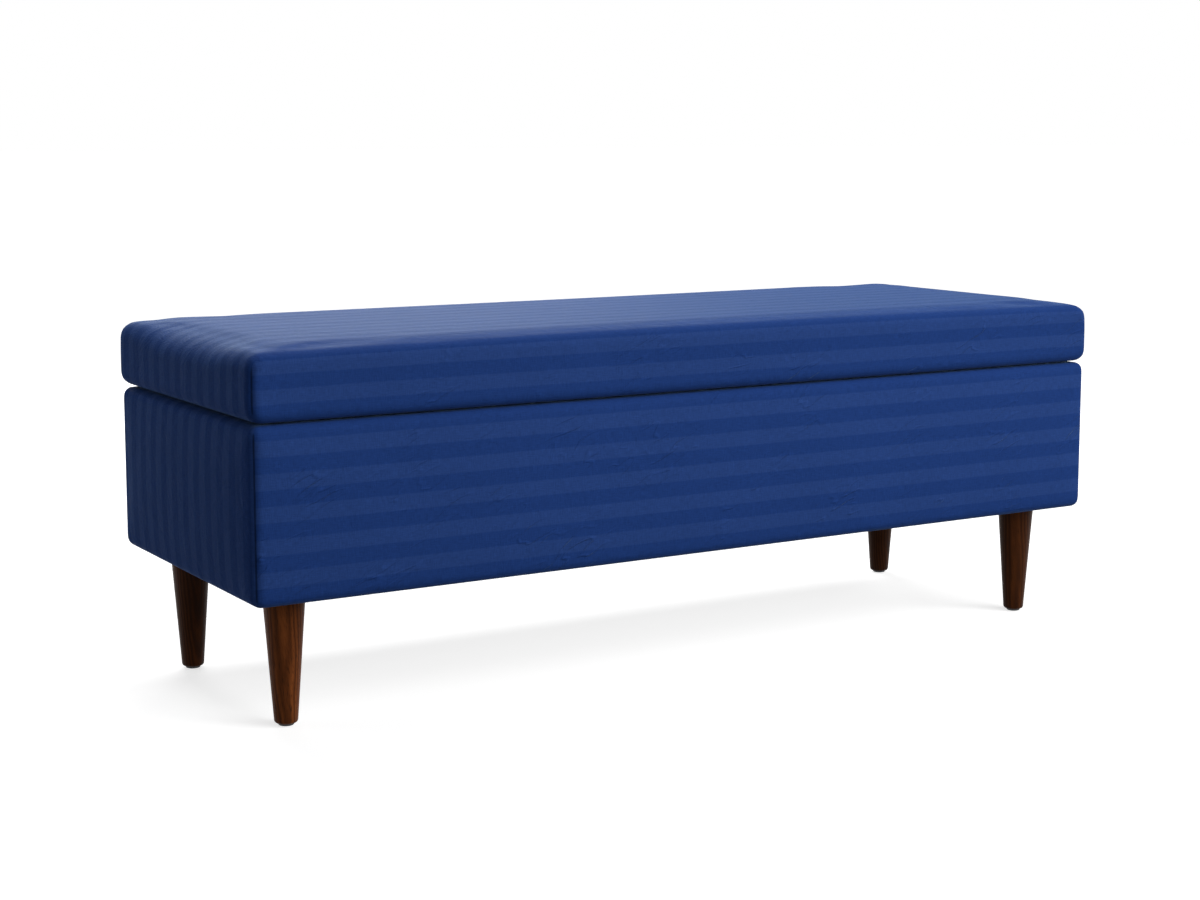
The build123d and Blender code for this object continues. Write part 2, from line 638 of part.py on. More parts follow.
def strut_plane(side):
    """Drawing plane through a strut's axis: x across the strut, y along it from the lower ball."""
    along = Vector(0, LID_BALL_Y - WALL_BALL_Y, LID_BALL_Z - WALL_BALL_Z).normalized()
    across = Vector(1, 0, 0)
    lower_ball = Vector(side * STRUT_X, WALL_BALL_Y, WALL_BALL_Z)
    return Plane(origin=lower_ball, x_dir=across, z_dir=across.cross(along))


STRUT_CLOSED = (Vector(0, LID_BALL_Y, LID_BALL_Z) - Vector(0, WALL_BALL_Y, WALL_BALL_Z)).length
TUBE_START = SOCKET_NECK_END
TUBE_END = TUBE_START + TUBE_LENGTH
TUBE_BASE = 3.0
TUBE_BASE_EDGE = 1.5        # bevel round the closed end
TUBE_LIP = 1.0              # the open end is rolled inward over the guide
TUBE_IN_R = TUBE_R - TUBE_WALL
TUBE_MOUTH_R = TUBE_IN_R - 2 * TUBE_LIP
GUIDE_START = TUBE_END - TUBE_LIP - GUIDE_LENGTH
PISTON_FROM_BASE = 3.0
PISTON_START = TUBE_START + TUBE_BASE + PISTON_FROM_BASE
PISTON_R = TUBE_IN_R - SLIDING_CLEARANCE
PISTON_LAND = 2.5           # full-width land at each end of the piston, with its seal between
PISTON_GROOVE_R = TUBE_IN_R - 1.5
THREAD = 6.0                # threaded end that screws into a socket's neck
CUP_HALF = 6.0
CUP_FACE_INSET = 1.5        # the open side of the cup stops short of the bracket's collar
CUP_EDGE_R = 1.2
CUP_MOUTH_R = STUD_R + 1.2
NECK_R = 5.0


def ball_socket(ball, direction, side):
    """Plastic end fitting: a cup that snaps on a ball, and a threaded neck along the strut."""
    neck = Plane(origin=ball, z_dir=direction)
    cup = Plane(origin=ball, z_dir=(side, 0, 0))
    with BuildPart(mode=Mode.PRIVATE) as socket:
        with BuildSketch(cup.offset(-CUP_HALF)):
            Circle(SOCKET_R)
        extrude(amount=2 * CUP_HALF - CUP_FACE_INSET)
        fillet(socket.edges().filter_by(GeomType.CIRCLE), CUP_EDGE_R)
        with BuildSketch(neck):
            Circle(NECK_R)
        extrude(amount=SOCKET_NECK_END)
        with BuildSketch(neck.offset(SOCKET_NECK_END - THREAD)):
            Circle(ROD_R)
        extrude(amount=THREAD, mode=Mode.SUBTRACT)
        with Locations(ball):
            Sphere(BALL_R + SLIDING_CLEARANCE, mode=Mode.SUBTRACT)
        with BuildSketch(cup):
            Circle(CUP_MOUTH_R)
        extrude(amount=CUP_HALF, mode=Mode.SUBTRACT)
    return socket.part


for name, side in SIDES.items():
    plane = strut_plane(side)
    lower_ball = plane.origin
    upper_ball = plane.from_local_coords(Vector(0, STRUT_CLOSED, 0))

    strut_tube = turned(
        plane,
        [
            (0, TUBE_START - THREAD),
            (ROD_R, TUBE_START - THREAD),
            (ROD_R, TUBE_START),
            (TUBE_R - TUBE_BASE_EDGE, TUBE_START),
            (TUBE_R, TUBE_START + TUBE_BASE_EDGE),
            (TUBE_R, TUBE_END - TUBE_LIP),
            (TUBE_R - TUBE_LIP, TUBE_END),
            (TUBE_MOUTH_R, TUBE_END),
            (TUBE_MOUTH_R, TUBE_END - TUBE_LIP),
            (TUBE_IN_R, TUBE_END - TUBE_LIP),
            (TUBE_IN_R, TUBE_START + TUBE_BASE),
            (0, TUBE_START + TUBE_BASE),
        ],
    )
    save(strut_tube, f"strut_tube_{name}")

    guide_seal = turned(
        plane,
        [
            (ROD_R + SLIDING_CLEARANCE, GUIDE_START),
            (TUBE_IN_R, GUIDE_START),
            (TUBE_IN_R, GUIDE_START + GUIDE_LENGTH),
            (ROD_R + SLIDING_CLEARANCE, GUIDE_START + GUIDE_LENGTH),
        ],
    )
    save(guide_seal, f"strut_guide_{name}")

    strut_rod = turned(
        plane,
        [
            (0, PISTON_START),
            (ROD_R, PISTON_START),
            (ROD_R, STRUT_CLOSED - SOCKET_NECK_END + THREAD),
            (0, STRUT_CLOSED - SOCKET_NECK_END + THREAD),
        ],
    )
    save(strut_rod, f"strut_rod_{name}")

    strut_piston = turned(
        plane,
        [
            (ROD_R, PISTON_START),
            (PISTON_R, PISTON_START),
            (PISTON_R, PISTON_START + PISTON_LAND),
            (PISTON_GROOVE_R, PISTON_START + PISTON_LAND),
            (PISTON_GROOVE_R, PISTON_START + PISTON_LENGTH - PISTON_LAND),
            (PISTON_R, PISTON_START + PISTON_LENGTH - PISTON_LAND),
            (PISTON_R, PISTON_START + PISTON_LENGTH),
            (ROD_R, PISTON_START + PISTON_LENGTH),
        ],
    )
    save(strut_piston, f"strut_piston_{name}")

    with BuildPart() as tube_socket:
        add(ball_socket(lower_ball, plane.y_dir, side))
    save(tube_socket, f"strut_tube_socket_{name}")

    with BuildPart() as rod_socket:
        add(ball_socket(upper_ball, plane.y_dir * -1, side))
    save(rod_socket, f"strut_rod_socket_{name}")

    # flat bracket on the end wall, reaching up from the ball because the floor is close below
    stud_foot = (side * WALL_BRACKET_FACE, WALL_BALL_Y, WALL_BALL_Z)
    with BuildPart() as wall_bracket:
        with BuildSketch(Plane(origin=stud_foot, x_dir=(0, side, 0), z_dir=(side, 0, 0))):
            with Locations((0, (WALL_BRACKET_ABOVE - WALL_BRACKET_BELOW) / 2)):
                RectangleRounded(
                    WALL_BRACKET_WIDTH,
                    WALL_BRACKET_ABOVE + WALL_BRACKET_BELOW,
                    BRACKET_CORNER_R,
                )
            Circle(STUD_R, mode=Mode.SUBTRACT)
        extrude(amount=BRACKET)
        add(wall_bracket_screws, mode=Mode.SUBTRACT)
    save(wall_bracket, f"strut_wall_bracket_{name}")

    # angle bracket: a plate screwed under the lid and a flange that hangs beside the strut
    plate_x = side * (LID_FLANGE_X + BRACKET - LID_BRACKET_WIDTH / 2)
    flange_x = side * (LID_FLANGE_X + BRACKET / 2)
    flange_low = LID_BALL_Z - FLANGE_WIDTH / 2
    flange_high = LID_LINING_FACE
    with BuildPart() as lid_bracket:
        with Locations((plate_x, LID_BALL_Y, LID_LINING_FACE - BRACKET / 2)):
            Box(LID_BRACKET_WIDTH, LID_BRACKET_LENGTH, BRACKET)
        with Locations((flange_x, LID_BALL_Y, (flange_low + flange_high) / 2)):
            Box(BRACKET, FLANGE_WIDTH, flange_high - flange_low)
        fillet(lid_bracket.edges().filter_by(Axis.X).group_by(Axis.Z)[0], BRACKET_CORNER_R)
        with BuildSketch(Plane(origin=(0, LID_BALL_Y, LID_BALL_Z), z_dir=(side, 0, 0))):
            Circle(STUD_R)
        extrude(amount=HALF_X, mode=Mode.SUBTRACT)
        add(lid_bracket_screws, mode=Mode.SUBTRACT)
    save(lid_bracket, f"strut_lid_bracket_{name}")

with BuildPart() as wall_ball_studs:
    for side in SIDES.values():
        add(ball_stud((side * STRUT_X, WALL_BALL_Y, WALL_BALL_Z), side, STUD_LENGTH_WALL))
save(wall_ball_studs, "wall_ball_studs")

with BuildPart() as lid_ball_studs:
    for side in SIDES.values():
        add(ball_stud((side * STRUT_X, LID_BALL_Y, LID_BALL_Z), side, STUD_LENGTH_LID))
save(lid_ball_studs, "lid_ball_studs")

with BuildPart() as bracket_screws:
    add(wall_bracket_screws)
save(bracket_screws, "wall_bracket_screws")

with BuildPart() as underlid_screws:
    add(lid_bracket_screws)
save(underlid_screws, "lid_bracket_screws")
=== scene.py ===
"""Storage bench in tonal striped cotton: how it looks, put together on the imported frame.

Metres, in the frame of the solids. The sections follow the bench as a workshop builds it.
"""

import math

import bmesh
import bpy
import numpy as np
from mathutils.kdtree import KDTree
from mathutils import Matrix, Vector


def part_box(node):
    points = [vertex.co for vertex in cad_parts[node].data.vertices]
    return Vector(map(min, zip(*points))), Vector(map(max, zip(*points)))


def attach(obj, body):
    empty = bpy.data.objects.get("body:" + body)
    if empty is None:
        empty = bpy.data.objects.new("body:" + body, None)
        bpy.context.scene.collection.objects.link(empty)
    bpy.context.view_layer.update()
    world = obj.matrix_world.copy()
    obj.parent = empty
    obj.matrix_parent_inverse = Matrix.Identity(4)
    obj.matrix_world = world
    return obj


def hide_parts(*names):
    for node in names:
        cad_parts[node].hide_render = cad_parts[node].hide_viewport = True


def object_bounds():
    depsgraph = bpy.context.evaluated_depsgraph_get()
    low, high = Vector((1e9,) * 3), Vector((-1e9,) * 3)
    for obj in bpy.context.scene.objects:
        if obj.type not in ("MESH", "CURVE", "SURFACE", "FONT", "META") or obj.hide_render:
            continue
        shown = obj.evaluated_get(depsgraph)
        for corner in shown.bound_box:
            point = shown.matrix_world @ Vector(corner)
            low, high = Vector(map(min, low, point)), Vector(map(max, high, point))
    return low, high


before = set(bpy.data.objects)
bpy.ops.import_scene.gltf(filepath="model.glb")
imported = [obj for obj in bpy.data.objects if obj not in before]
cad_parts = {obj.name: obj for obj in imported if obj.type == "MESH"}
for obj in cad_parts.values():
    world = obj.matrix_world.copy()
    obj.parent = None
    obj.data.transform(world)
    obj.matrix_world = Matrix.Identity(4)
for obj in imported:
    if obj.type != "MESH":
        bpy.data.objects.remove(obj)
cad_low, cad_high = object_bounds()
scene = bpy.context.scene

# --- view ---------------------------------------------------------------------------------------
# A long-ish lens a little above the lid, off the left front corner, so that the front, the left
# end and a sliver of the top are seen. A small shift keeps the uprights more nearly upright.

TILT = 7.15  # degrees that the camera looks down
HEADING = 31.33  # degrees that it is turned to the right
lens = bpy.data.cameras.new("camera")
lens.lens = 62.62
lens.sensor_width = 36.0
lens.shift_y = -0.05
camera = bpy.data.objects.new("camera", lens)
camera.location = (-1.5015, -2.3967, 0.6991)
camera.rotation_euler = (math.radians(90 - TILT), 0.0, math.radians(-HEADING))
scene.collection.objects.link(camera)
scene.camera = camera
scene.view_settings.view_transform = "Standard"

# --- wooden box ---------------------------------------------------------------------------------
# The box is four birch plywood walls, glued and screwed at the corners, round a plywood floor.
# Pine battens, two cross rails and four corner blocks stiffen it from below. All of it is sawn
# and left raw, because cloth hides it.


def linear(code):
    """A colour written as sRGB hex, as the linear values that Blender's sockets hold."""
    parts = [int(code[start : start + 2], 16) / 255 for start in (1, 3, 5)]
    return [c / 12.92 if c <= 0.04045 else ((c + 0.055) / 1.055) ** 2.4 for c in parts] + [1.0]


def feed(node, inputs):
    """Fills a node's sockets, by name or number, with a constant, a socket or another node.

    A node stands for its first output that is in use.
    """
    for name, value in inputs.items():
        if isinstance(value, bpy.types.Node):
            value = next(socket for socket in value.outputs if socket.enabled)
        if isinstance(value, bpy.types.NodeSocket):
            node.id_data.links.new(value, node.inputs[name])
        else:
            node.inputs[name].default_value = value


def add_node(tree, kind, inputs=None, **settings):
    """One node with its settings and links. A mix node's share and colours are 0, 6 and 7."""
    made = tree.nodes.new(kind)
    for name, value in settings.items():
        setattr(made, name, value)
    feed(made, inputs or {})
    return made


def start_material(name, **inputs):
    """A new material whose shader has those constant inputs, written with _ for each space."""
    made = bpy.data.materials.new(name)
    made.use_nodes = True
    tree = made.node_tree
    tree.nodes.clear()
    constants = {key.replace("_", " "): value for key, value in inputs.items()}
    shader = add_node(tree, "ShaderNodeBsdfPrincipled", constants)
    add_node(tree, "ShaderNodeOutputMaterial", {"Surface": shader})
    return made, tree, shader


def dress(material, *names):
    """Gives solids of the frame a material."""
    for name in names:
        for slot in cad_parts[name].material_slots:
            slot.material = material


def plywood(name, across, along):
    """Rotary-cut birch: a pale, long figure on the faces and dark and light plies at the edges."""
    material, tree, shader = start_material(name, Roughness=0.72)
    place = add_node(tree, "ShaderNodeTexCoord").outputs["Object"]
    axes = add_node(tree, "ShaderNodeSeparateXYZ", {0: place})
    ply = 0.0016
    fine, long = 70.0, 5.0  # streaks to the metre, across the grain and along it
    turns = add_node(
        tree,
        "ShaderNodeMath",
        {0: axes.outputs[across], 1: 1 / (2 * ply)},
        operation="MULTIPLY",
    )
    share = add_node(tree, "ShaderNodeMath", {0: turns}, operation="FRACT")
    dark_ply = add_node(tree, "ShaderNodeMath", {0: share, 1: 0.5}, operation="GREATER_THAN")
    stretch = [fine] * 3
    stretch["XYZ".index(along)] = long
    drawn = add_node(tree, "ShaderNodeMapping", {"Vector": place, "Scale": stretch})
    figure = add_node(
        tree,
        "ShaderNodeTexNoise",
        {"Vector": drawn, "Scale": 1.0, "Detail": 5.0, "Distortion": 0.6},
    )
    face = add_node(
        tree,
        "ShaderNodeMix",
        {0: figure, 6: linear("#D9BE93"), 7: linear("#C39F6E")},
        data_type="RGBA",
    )
    layered = add_node(
        tree,
        "ShaderNodeMix",
        {0: dark_ply, 6: face, 7: linear("#A67F52")},
        data_type="RGBA",
    )
    bump = add_node(tree, "ShaderNodeBump", {"Height": figure, "Strength": 0.5, "Distance": 0.0003})
    feed(shader, {"Base Color": layered, "Normal": bump})
    return material


def pine(name, along):
    """Sawn softwood: yearly rings a few millimetres apart, seen as lines along the length."""
    material, tree, shader = start_material(name, Roughness=0.78)
    place = add_node(tree, "ShaderNodeTexCoord").outputs["Object"]
    ring = 0.0035  # a wave texture has 20 / tau rings to the metre for each 1 of its scale
    rings = add_node(
        tree,
        "ShaderNodeTexWave",
        {
            "Vector": place,
            "Scale": math.tau / 20 / ring,
            "Distortion": 5.0,
            "Detail": 2.0,
            "Detail Scale": 0.05,
        },
        wave_type="RINGS",
        rings_direction=along,
    )
    wood = add_node(
        tree,
        "ShaderNodeMix",
        {0: rings.outputs["Fac"], 6: linear("#E0C08C"), 7: linear("#BC8B50")},
        data_type="RGBA",
    )
    # saw marks a millimetre apart
    saw = add_node(tree, "ShaderNodeTexNoise", {"Vector": place, "Scale": 900.0, "Detail": 3.0})
    bump = add_node(tree, "ShaderNodeBump", {"Height": saw, "Strength": 0.6, "Distance": 0.0003})
    feed(shader, {"Base Color": wood, "Normal": bump})
    return material


dress(plywood("birch_plywood_long_walls", "Y", "X"), "front_panel", "back_panel")
dress(plywood("birch_plywood_end_walls", "X", "Y"), "left_panel", "right_panel")
flat_plywood = plywood("birch_plywood_flat", "Z", "X")
dress(flat_plywood, "bottom_panel")
dress(pine("sawn_pine_along", "X"), "leg_blocks", "floor_cleats")
dress(pine("sawn_pine_across", "Y"), "cross_rails")

# --- screws -------------------------------------------------------------------------------------
# Zinc-plated countersunk wood screws with a cross recess hold the walls, floor, leg plates,
# hinges and strut brackets. They are cold-headed and thread-rolled from wire, then plated, which
# leaves a bright, faintly clouded finish.


def plated_steel(name, tint, roughness):
    """Plated or drawn steel: a cool bright metal with soft clouds and a very fine grain."""
    material, tree, shader = start_material(name, Metallic=1.0)
    place = add_node(tree, "ShaderNodeTexCoord").outputs["Object"]
    # the clouds are 4 to 5 mm wide, and the grain 0.4 mm
    clouds = add_node(tree, "ShaderNodeTexNoise", {"Vector": place, "Scale": 220.0, "Detail": 4.0})
    colour = add_node(
        tree,
        "ShaderNodeMix",
        {0: clouds, 6: linear(tint), 7: linear("#DDE0E3")},
        data_type="RGBA",
    )
    dulled = add_node(
        tree,
        "ShaderNodeMapRange",
        {"Value": clouds, "To Min": roughness - 0.07, "To Max": roughness + 0.1},
    )
    fine = add_node(tree, "ShaderNodeTexNoise", {"Vector": place, "Scale": 2500.0, "Detail": 2.0})
    bump = add_node(tree, "ShaderNodeBump", {"Height": fine, "Strength": 0.25, "Distance": 0.0001})
    feed(shader, {"Base Color": colour, "Roughness": dulled, "Normal": bump})
    return material


def separate_bodies(name):
    """The lowest and highest corner of each loose body inside a solid of the frame."""
    mesh = bmesh.new()
    mesh.from_mesh(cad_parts[name].data)
    bmesh.ops.remove_doubles(mesh, verts=mesh.verts, dist=1e-6)
    mesh.verts.ensure_lookup_table()
    group = [-1] * len(mesh.verts)
    corners = []
    for start in mesh.verts:
        if group[start.index] >= 0:
            continue
        group[start.index] = len(corners)
        edge, found = [start], [start.co.copy()]
        while edge:
            for link in edge.pop().link_edges:
                for other in link.verts:
                    if group[other.index] < 0:
                        group[other.index] = len(corners)
                        edge.append(other)
                        found.append(other.co.copy())
        corners.append((np.min(found, axis=0), np.max(found, axis=0)))
    mesh.free()
    return corners


def new_tree(name, **sizes):
    """A Geometry Nodes tree with a place geometry, a material and those sizes as inputs."""
    tree = bpy.data.node_groups.new(name, "GeometryNodeTree")
    tree.interface.new_socket("Places", in_out="INPUT", socket_type="NodeSocketGeometry")
    tree.interface.new_socket("Material", in_out="INPUT", socket_type="NodeSocketMaterial")
    for size, value in sizes.items():
        socket = tree.interface.new_socket(size, in_out="INPUT", socket_type="NodeSocketFloat")
        socket.default_value = value
    tree.interface.new_socket("Geometry", in_out="OUTPUT", socket_type="NodeSocketGeometry")
    return tree, tree.nodes.new("NodeGroupInput").outputs


def finish_tree(tree, given, shape):
    """Ends a tree: instances made real, material set."""
    real = add_node(tree, "GeometryNodeRealizeInstances", {0: shape})
    painted = add_node(tree, "GeometryNodeSetMaterial", {0: real, "Material": given["Material"]})
    add_node(tree, "NodeGroupOutput", {0: painted})


def scatter(tree, shape, given):
    """Puts a shape at each place, its Z along the place's facing and its X along its running."""
    facing = add_node(
        tree,
        "GeometryNodeInputNamedAttribute",
        {"Name": "facing"},
        data_type="FLOAT_VECTOR",
    )
    running = add_node(
        tree,
        "GeometryNodeInputNamedAttribute",
        {"Name": "running"},
        data_type="FLOAT_VECTOR",
    )
    turned = add_node(
        tree,
        "FunctionNodeAxesToRotation",
        {0: facing, 1: running},
        primary_axis="Z",
        secondary_axis="X",
    )
    return add_node(
        tree,
        "GeometryNodeInstanceOnPoints",
        {"Points": given["Places"], "Instance": shape, "Rotation": turned},
    )


def grown(name, tree, material, places, facing, running, **sizes):
    """What a tree makes of a list of places, as a plain mesh object."""
    points = bpy.data.meshes.new(name + "_places")
    points.from_pydata([tuple(place) for place in places], [], [])
    for label, values in (("facing", facing), ("running", running)):
        attribute = points.attributes.new(label, "FLOAT_VECTOR", "POINT")
        attribute.data.foreach_set("vector", np.array(values, float).ravel())
    seed = bpy.data.objects.new(name + "_seed", points)
    scene.collection.objects.link(seed)
    modifier = seed.modifiers.new("grow", "NODES")
    modifier.node_group = tree
    values = {"Material": material, **sizes}
    for socket in tree.interface.items_tree:
        if socket.in_out == "INPUT" and socket.name in values:
            modifier[socket.identifier] = values[socket.name]
    ready = seed.evaluated_get(bpy.context.evaluated_depsgraph_get())
    mesh = bpy.data.meshes.new_from_object(ready)
    mesh.name = name
    bpy.data.objects.remove(seed)
    made = bpy.data.objects.new(name, mesh)
    scene.collection.objects.link(made)
    return made


screw_tree, screw_in = new_tree("wood_screw", Length=0.02, Shank=0.00175, Head=0.0032)
head_rise = add_node(
    screw_tree,
    "ShaderNodeMath",
    {0: screw_in["Head"], 1: screw_in["Shank"]},
    operation="SUBTRACT",
)
head = add_node(
    screw_tree,
    "GeometryNodeMeshCone",
    {
        "Vertices": 28,
        "Radius Top": screw_in["Head"],
        "Radius Bottom": screw_in["Shank"],
        "Depth": head_rise,
    },
)
sunk = add_node(screw_tree, "ShaderNodeMath", {0: head_rise, 1: -1.0}, operation="MULTIPLY")
head_drop = add_node(screw_tree, "ShaderNodeCombineXYZ", {2: sunk})
head_placed = add_node(screw_tree, "GeometryNodeTransform", {0: head, "Translation": head_drop})
RECESS_SPAN, RECESS_WIDTH, RECESS_DEPTH = 0.0034, 0.0008, 0.0022
BLUNT_POINT = 0.0002
arms = [
    add_node(screw_tree, "GeometryNodeMeshCube", {"Size": (long, wide, RECESS_DEPTH)})
    for long, wide in ((RECESS_SPAN, RECESS_WIDTH), (RECESS_WIDTH, RECESS_SPAN))
]
recessed = add_node(screw_tree, "GeometryNodeMeshBoolean", {0: head_placed}, operation="DIFFERENCE")
for arm in arms:
    feed(recessed, {1: arm})
tip_length = add_node(
    screw_tree,
    "ShaderNodeMath",
    {0: screw_in["Shank"], 1: 2.0},
    operation="MULTIPLY",
)
shank_length = add_node(
    screw_tree, "ShaderNodeMath", {0: screw_in["Length"], 1: tip_length}, operation="SUBTRACT"
)
bare = add_node(screw_tree, "ShaderNodeMath", {0: shank_length, 1: head_rise}, operation="SUBTRACT")
middle = add_node(
    screw_tree,
    "ShaderNodeMath",
    {0: bare, 1: -0.5, 2: sunk},
    operation="MULTIPLY_ADD",
)
shank = add_node(
    screw_tree,
    "GeometryNodeMeshCylinder",
    {"Vertices": 14, "Radius": screw_in["Shank"], "Depth": bare},
)
shank_drop = add_node(screw_tree, "ShaderNodeCombineXYZ", {2: middle})
shank_placed = add_node(screw_tree, "GeometryNodeTransform", {0: shank, "Translation": shank_drop})
tip = add_node(
    screw_tree,
    "GeometryNodeMeshCone",
    {
        "Vertices": 14,
        "Radius Top": screw_in["Shank"],
        "Radius Bottom": BLUNT_POINT,
        "Depth": tip_length,
    },
)
tip_sink = add_node(
    screw_tree,
    "ShaderNodeMath",
    {0: screw_in["Length"], 1: -1.0},
    operation="MULTIPLY",
)
tip_drop = add_node(screw_tree, "ShaderNodeCombineXYZ", {2: tip_sink})
tip_placed = add_node(screw_tree, "GeometryNodeTransform", {0: tip, "Translation": tip_drop})
screw = add_node(screw_tree, "GeometryNodeJoinGeometry")
for part in (tip_placed, shank_placed, recessed):
    feed(screw, {0: part})
finish_tree(screw_tree, screw_in, scatter(screw_tree, screw, screw_in))

zinc = plated_steel("bright_zinc_plated_steel", "#AEB4BA", 0.32)


def drive_screws(name, node, body, axis, outward):
    """Screws where a solid has them.

    Their axis is 1 for y and 2 for z, and outward is the way their heads face along it, +1 or -1,
    or 0 for away from the middle.
    """
    places, facing = [], []
    for low, high in separate_bodies(node):
        middle = (low + high) / 2
        sign = outward or math.copysign(1, middle[axis])
        place = middle.copy()
        place[axis] = high[axis] if sign > 0 else low[axis]
        places.append(place)
        facing.append([sign if index == axis else 0.0 for index in range(3)])
        length = high[axis] - low[axis]
    turn = np.random.default_rng(len(node)).uniform(0, math.pi, len(places))
    running = [np.roll((0.0, math.cos(t), math.sin(t)), axis) for t in turn]
    screws = grown(name, screw_tree, zinc, places, facing, running, Length=float(length))
    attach(screws, body)
    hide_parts(node)


drive_screws("wall_corner_screws", "frame_screws", "base", axis=1, outward=0)
drive_screws("floor_panel_screws", "floor_screws", "base", axis=2, outward=1)
drive_screws("leg_plate_wood_screws", "leg_plate_screws", "base", axis=2, outward=-1)
drive_screws("hinge_screws_in_box", "hinge_base_screws", "base", axis=2, outward=1)
drive_screws("hinge_screws_in_lid", "hinge_lid_screws", "lid", axis=2, outward=-1)
drive_screws("strut_screws_in_lid", "lid_bracket_screws", "lid", axis=2, outward=-1)

# the wall brackets' screws face the middle of the well, their recesses a little askew
wall_screws = separate_bodies("wall_bracket_screws")
inward = [-math.copysign(1, low[0]) for low, high in wall_screws]
bracket_screws = grown(
    "strut_screws_in_walls",
    screw_tree,
    zinc,
    [
        (high[0] if sign > 0 else low[0], (low[1] + high[1]) / 2, (low[2] + high[2]) / 2)
        for sign, (low, high) in zip(inward, wall_screws)
    ],
    [(sign, 0.0, 0.0) for sign in inward],
    [(0.0, 1.0, 0.4 * sign) for sign in inward],
    Length=float(wall_screws[0][1][0] - wall_screws[0][0][0]),
)
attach(bracket_screws, "base")
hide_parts("wall_bracket_screws")

# --- foam round the box -------------------------------------------------------------------------
# Sheets of polyurethane foam, 12 mm thick, are glued round the walls and a thinner strip is laid
# over their top edge. Cut foam is pale cream, dull and finely pored, and yellows a little.


def cut_foam(name):
    """Polyurethane foam: fine round pores, and patches that have yellowed more than others."""
    material, tree, shader = start_material(
        name, Roughness=0.95, Specular_IOR_Level=0.25, Sheen_Weight=0.15
    )
    place = add_node(tree, "ShaderNodeTexCoord").outputs["Object"]
    pore = 0.0014  # the real pores are half as wide, drawn coarser so that they show
    pores = add_node(tree, "ShaderNodeTexVoronoi", {"Vector": place, "Scale": 1 / pore})
    # the patches are about 110 mm wide
    aged = add_node(tree, "ShaderNodeTexNoise", {"Vector": place, "Scale": 9.0, "Detail": 3.0})
    colour = add_node(
        tree,
        "ShaderNodeMix",
        {0: aged, 6: linear("#EFE6CC"), 7: linear("#DCCB9C")},
        data_type="RGBA",
    )
    bump = add_node(
        tree,
        "ShaderNodeBump",
        {"Height": pores, "Strength": 0.7, "Distance": 0.0006},
    )
    feed(shader, {"Base Color": colour, "Normal": bump})
    return material


foam = cut_foam("cut_polyurethane_foam")
dress(foam, "front_foam", "back_foam", "left_foam", "right_foam", "lid_foam")

# --- cover of the box ---------------------------------------------------------------------------
# Mid-weight cotton in a woven tonal stripe is sewn into a sleeve of four panels, with the stripes
# level on the long sides and upright on the ends. It is pulled over the foam, turned into the
# well at the top and under the frame at the bottom, and stapled.

BAND = 0.0188  # a light and a dark band are each this wide
QUARTER = math.pi / 2


def dark_bands(tree, cloth):
    """1 in the dark bands of the stripe and 0 in the light ones, from the cloth map's v."""
    # the yarns wander by a fraction of a millimetre in 25 mm of their length, which softens the
    # edges of the bands
    wander_by = 0.0016
    wander = add_node(tree, "ShaderNodeMapping", {"Vector": cloth, "Scale": (40.0, 400.0, 1.0)})
    noise = add_node(tree, "ShaderNodeTexNoise", {"Vector": wander, "Scale": 1.0, "Detail": 2.0})
    parts = add_node(tree, "ShaderNodeSeparateXYZ", {0: cloth})
    shift = add_node(
        tree,
        "ShaderNodeMath",
        {0: noise, 1: wander_by, 2: parts.outputs[1]},
        operation="MULTIPLY_ADD",
    )
    across = add_node(tree, "ShaderNodeMath", {0: shift, 1: 1 / BAND}, operation="MULTIPLY")
    # ping-pong gives 0 in the middle of a light band and 1 in the middle of a dark one
    swing = add_node(tree, "ShaderNodeMath", {0: across, 1: 1.0}, operation="PINGPONG")
    return add_node(
        tree,
        "ShaderNodeMapRange",
        {"Value": swing, "From Min": 0.45, "From Max": 0.55},
        interpolation_type="SMOOTHSTEP",
    )


def yarn_flecks(tree, cloth):
    """The paler and darker yarns of warp and weft together, 1 on average.

    The yarns are 0.4 mm apart, and drawn about three times as coarse so that they show.
    """
    flecks = []
    for scale in ((90.0, 850.0, 1.0), (850.0, 90.0, 1.0)):
        drawn = add_node(tree, "ShaderNodeMapping", {"Vector": cloth, "Scale": scale})
        noise = {"Vector": drawn, "Scale": 1.0, "Detail": 2.0, "Roughness": 0.6}
        flecks.append(add_node(tree, "ShaderNodeTexNoise", noise))
    return add_node(tree, "ShaderNodeMath", {0: flecks[0], 1: flecks[1]}, operation="ADD")


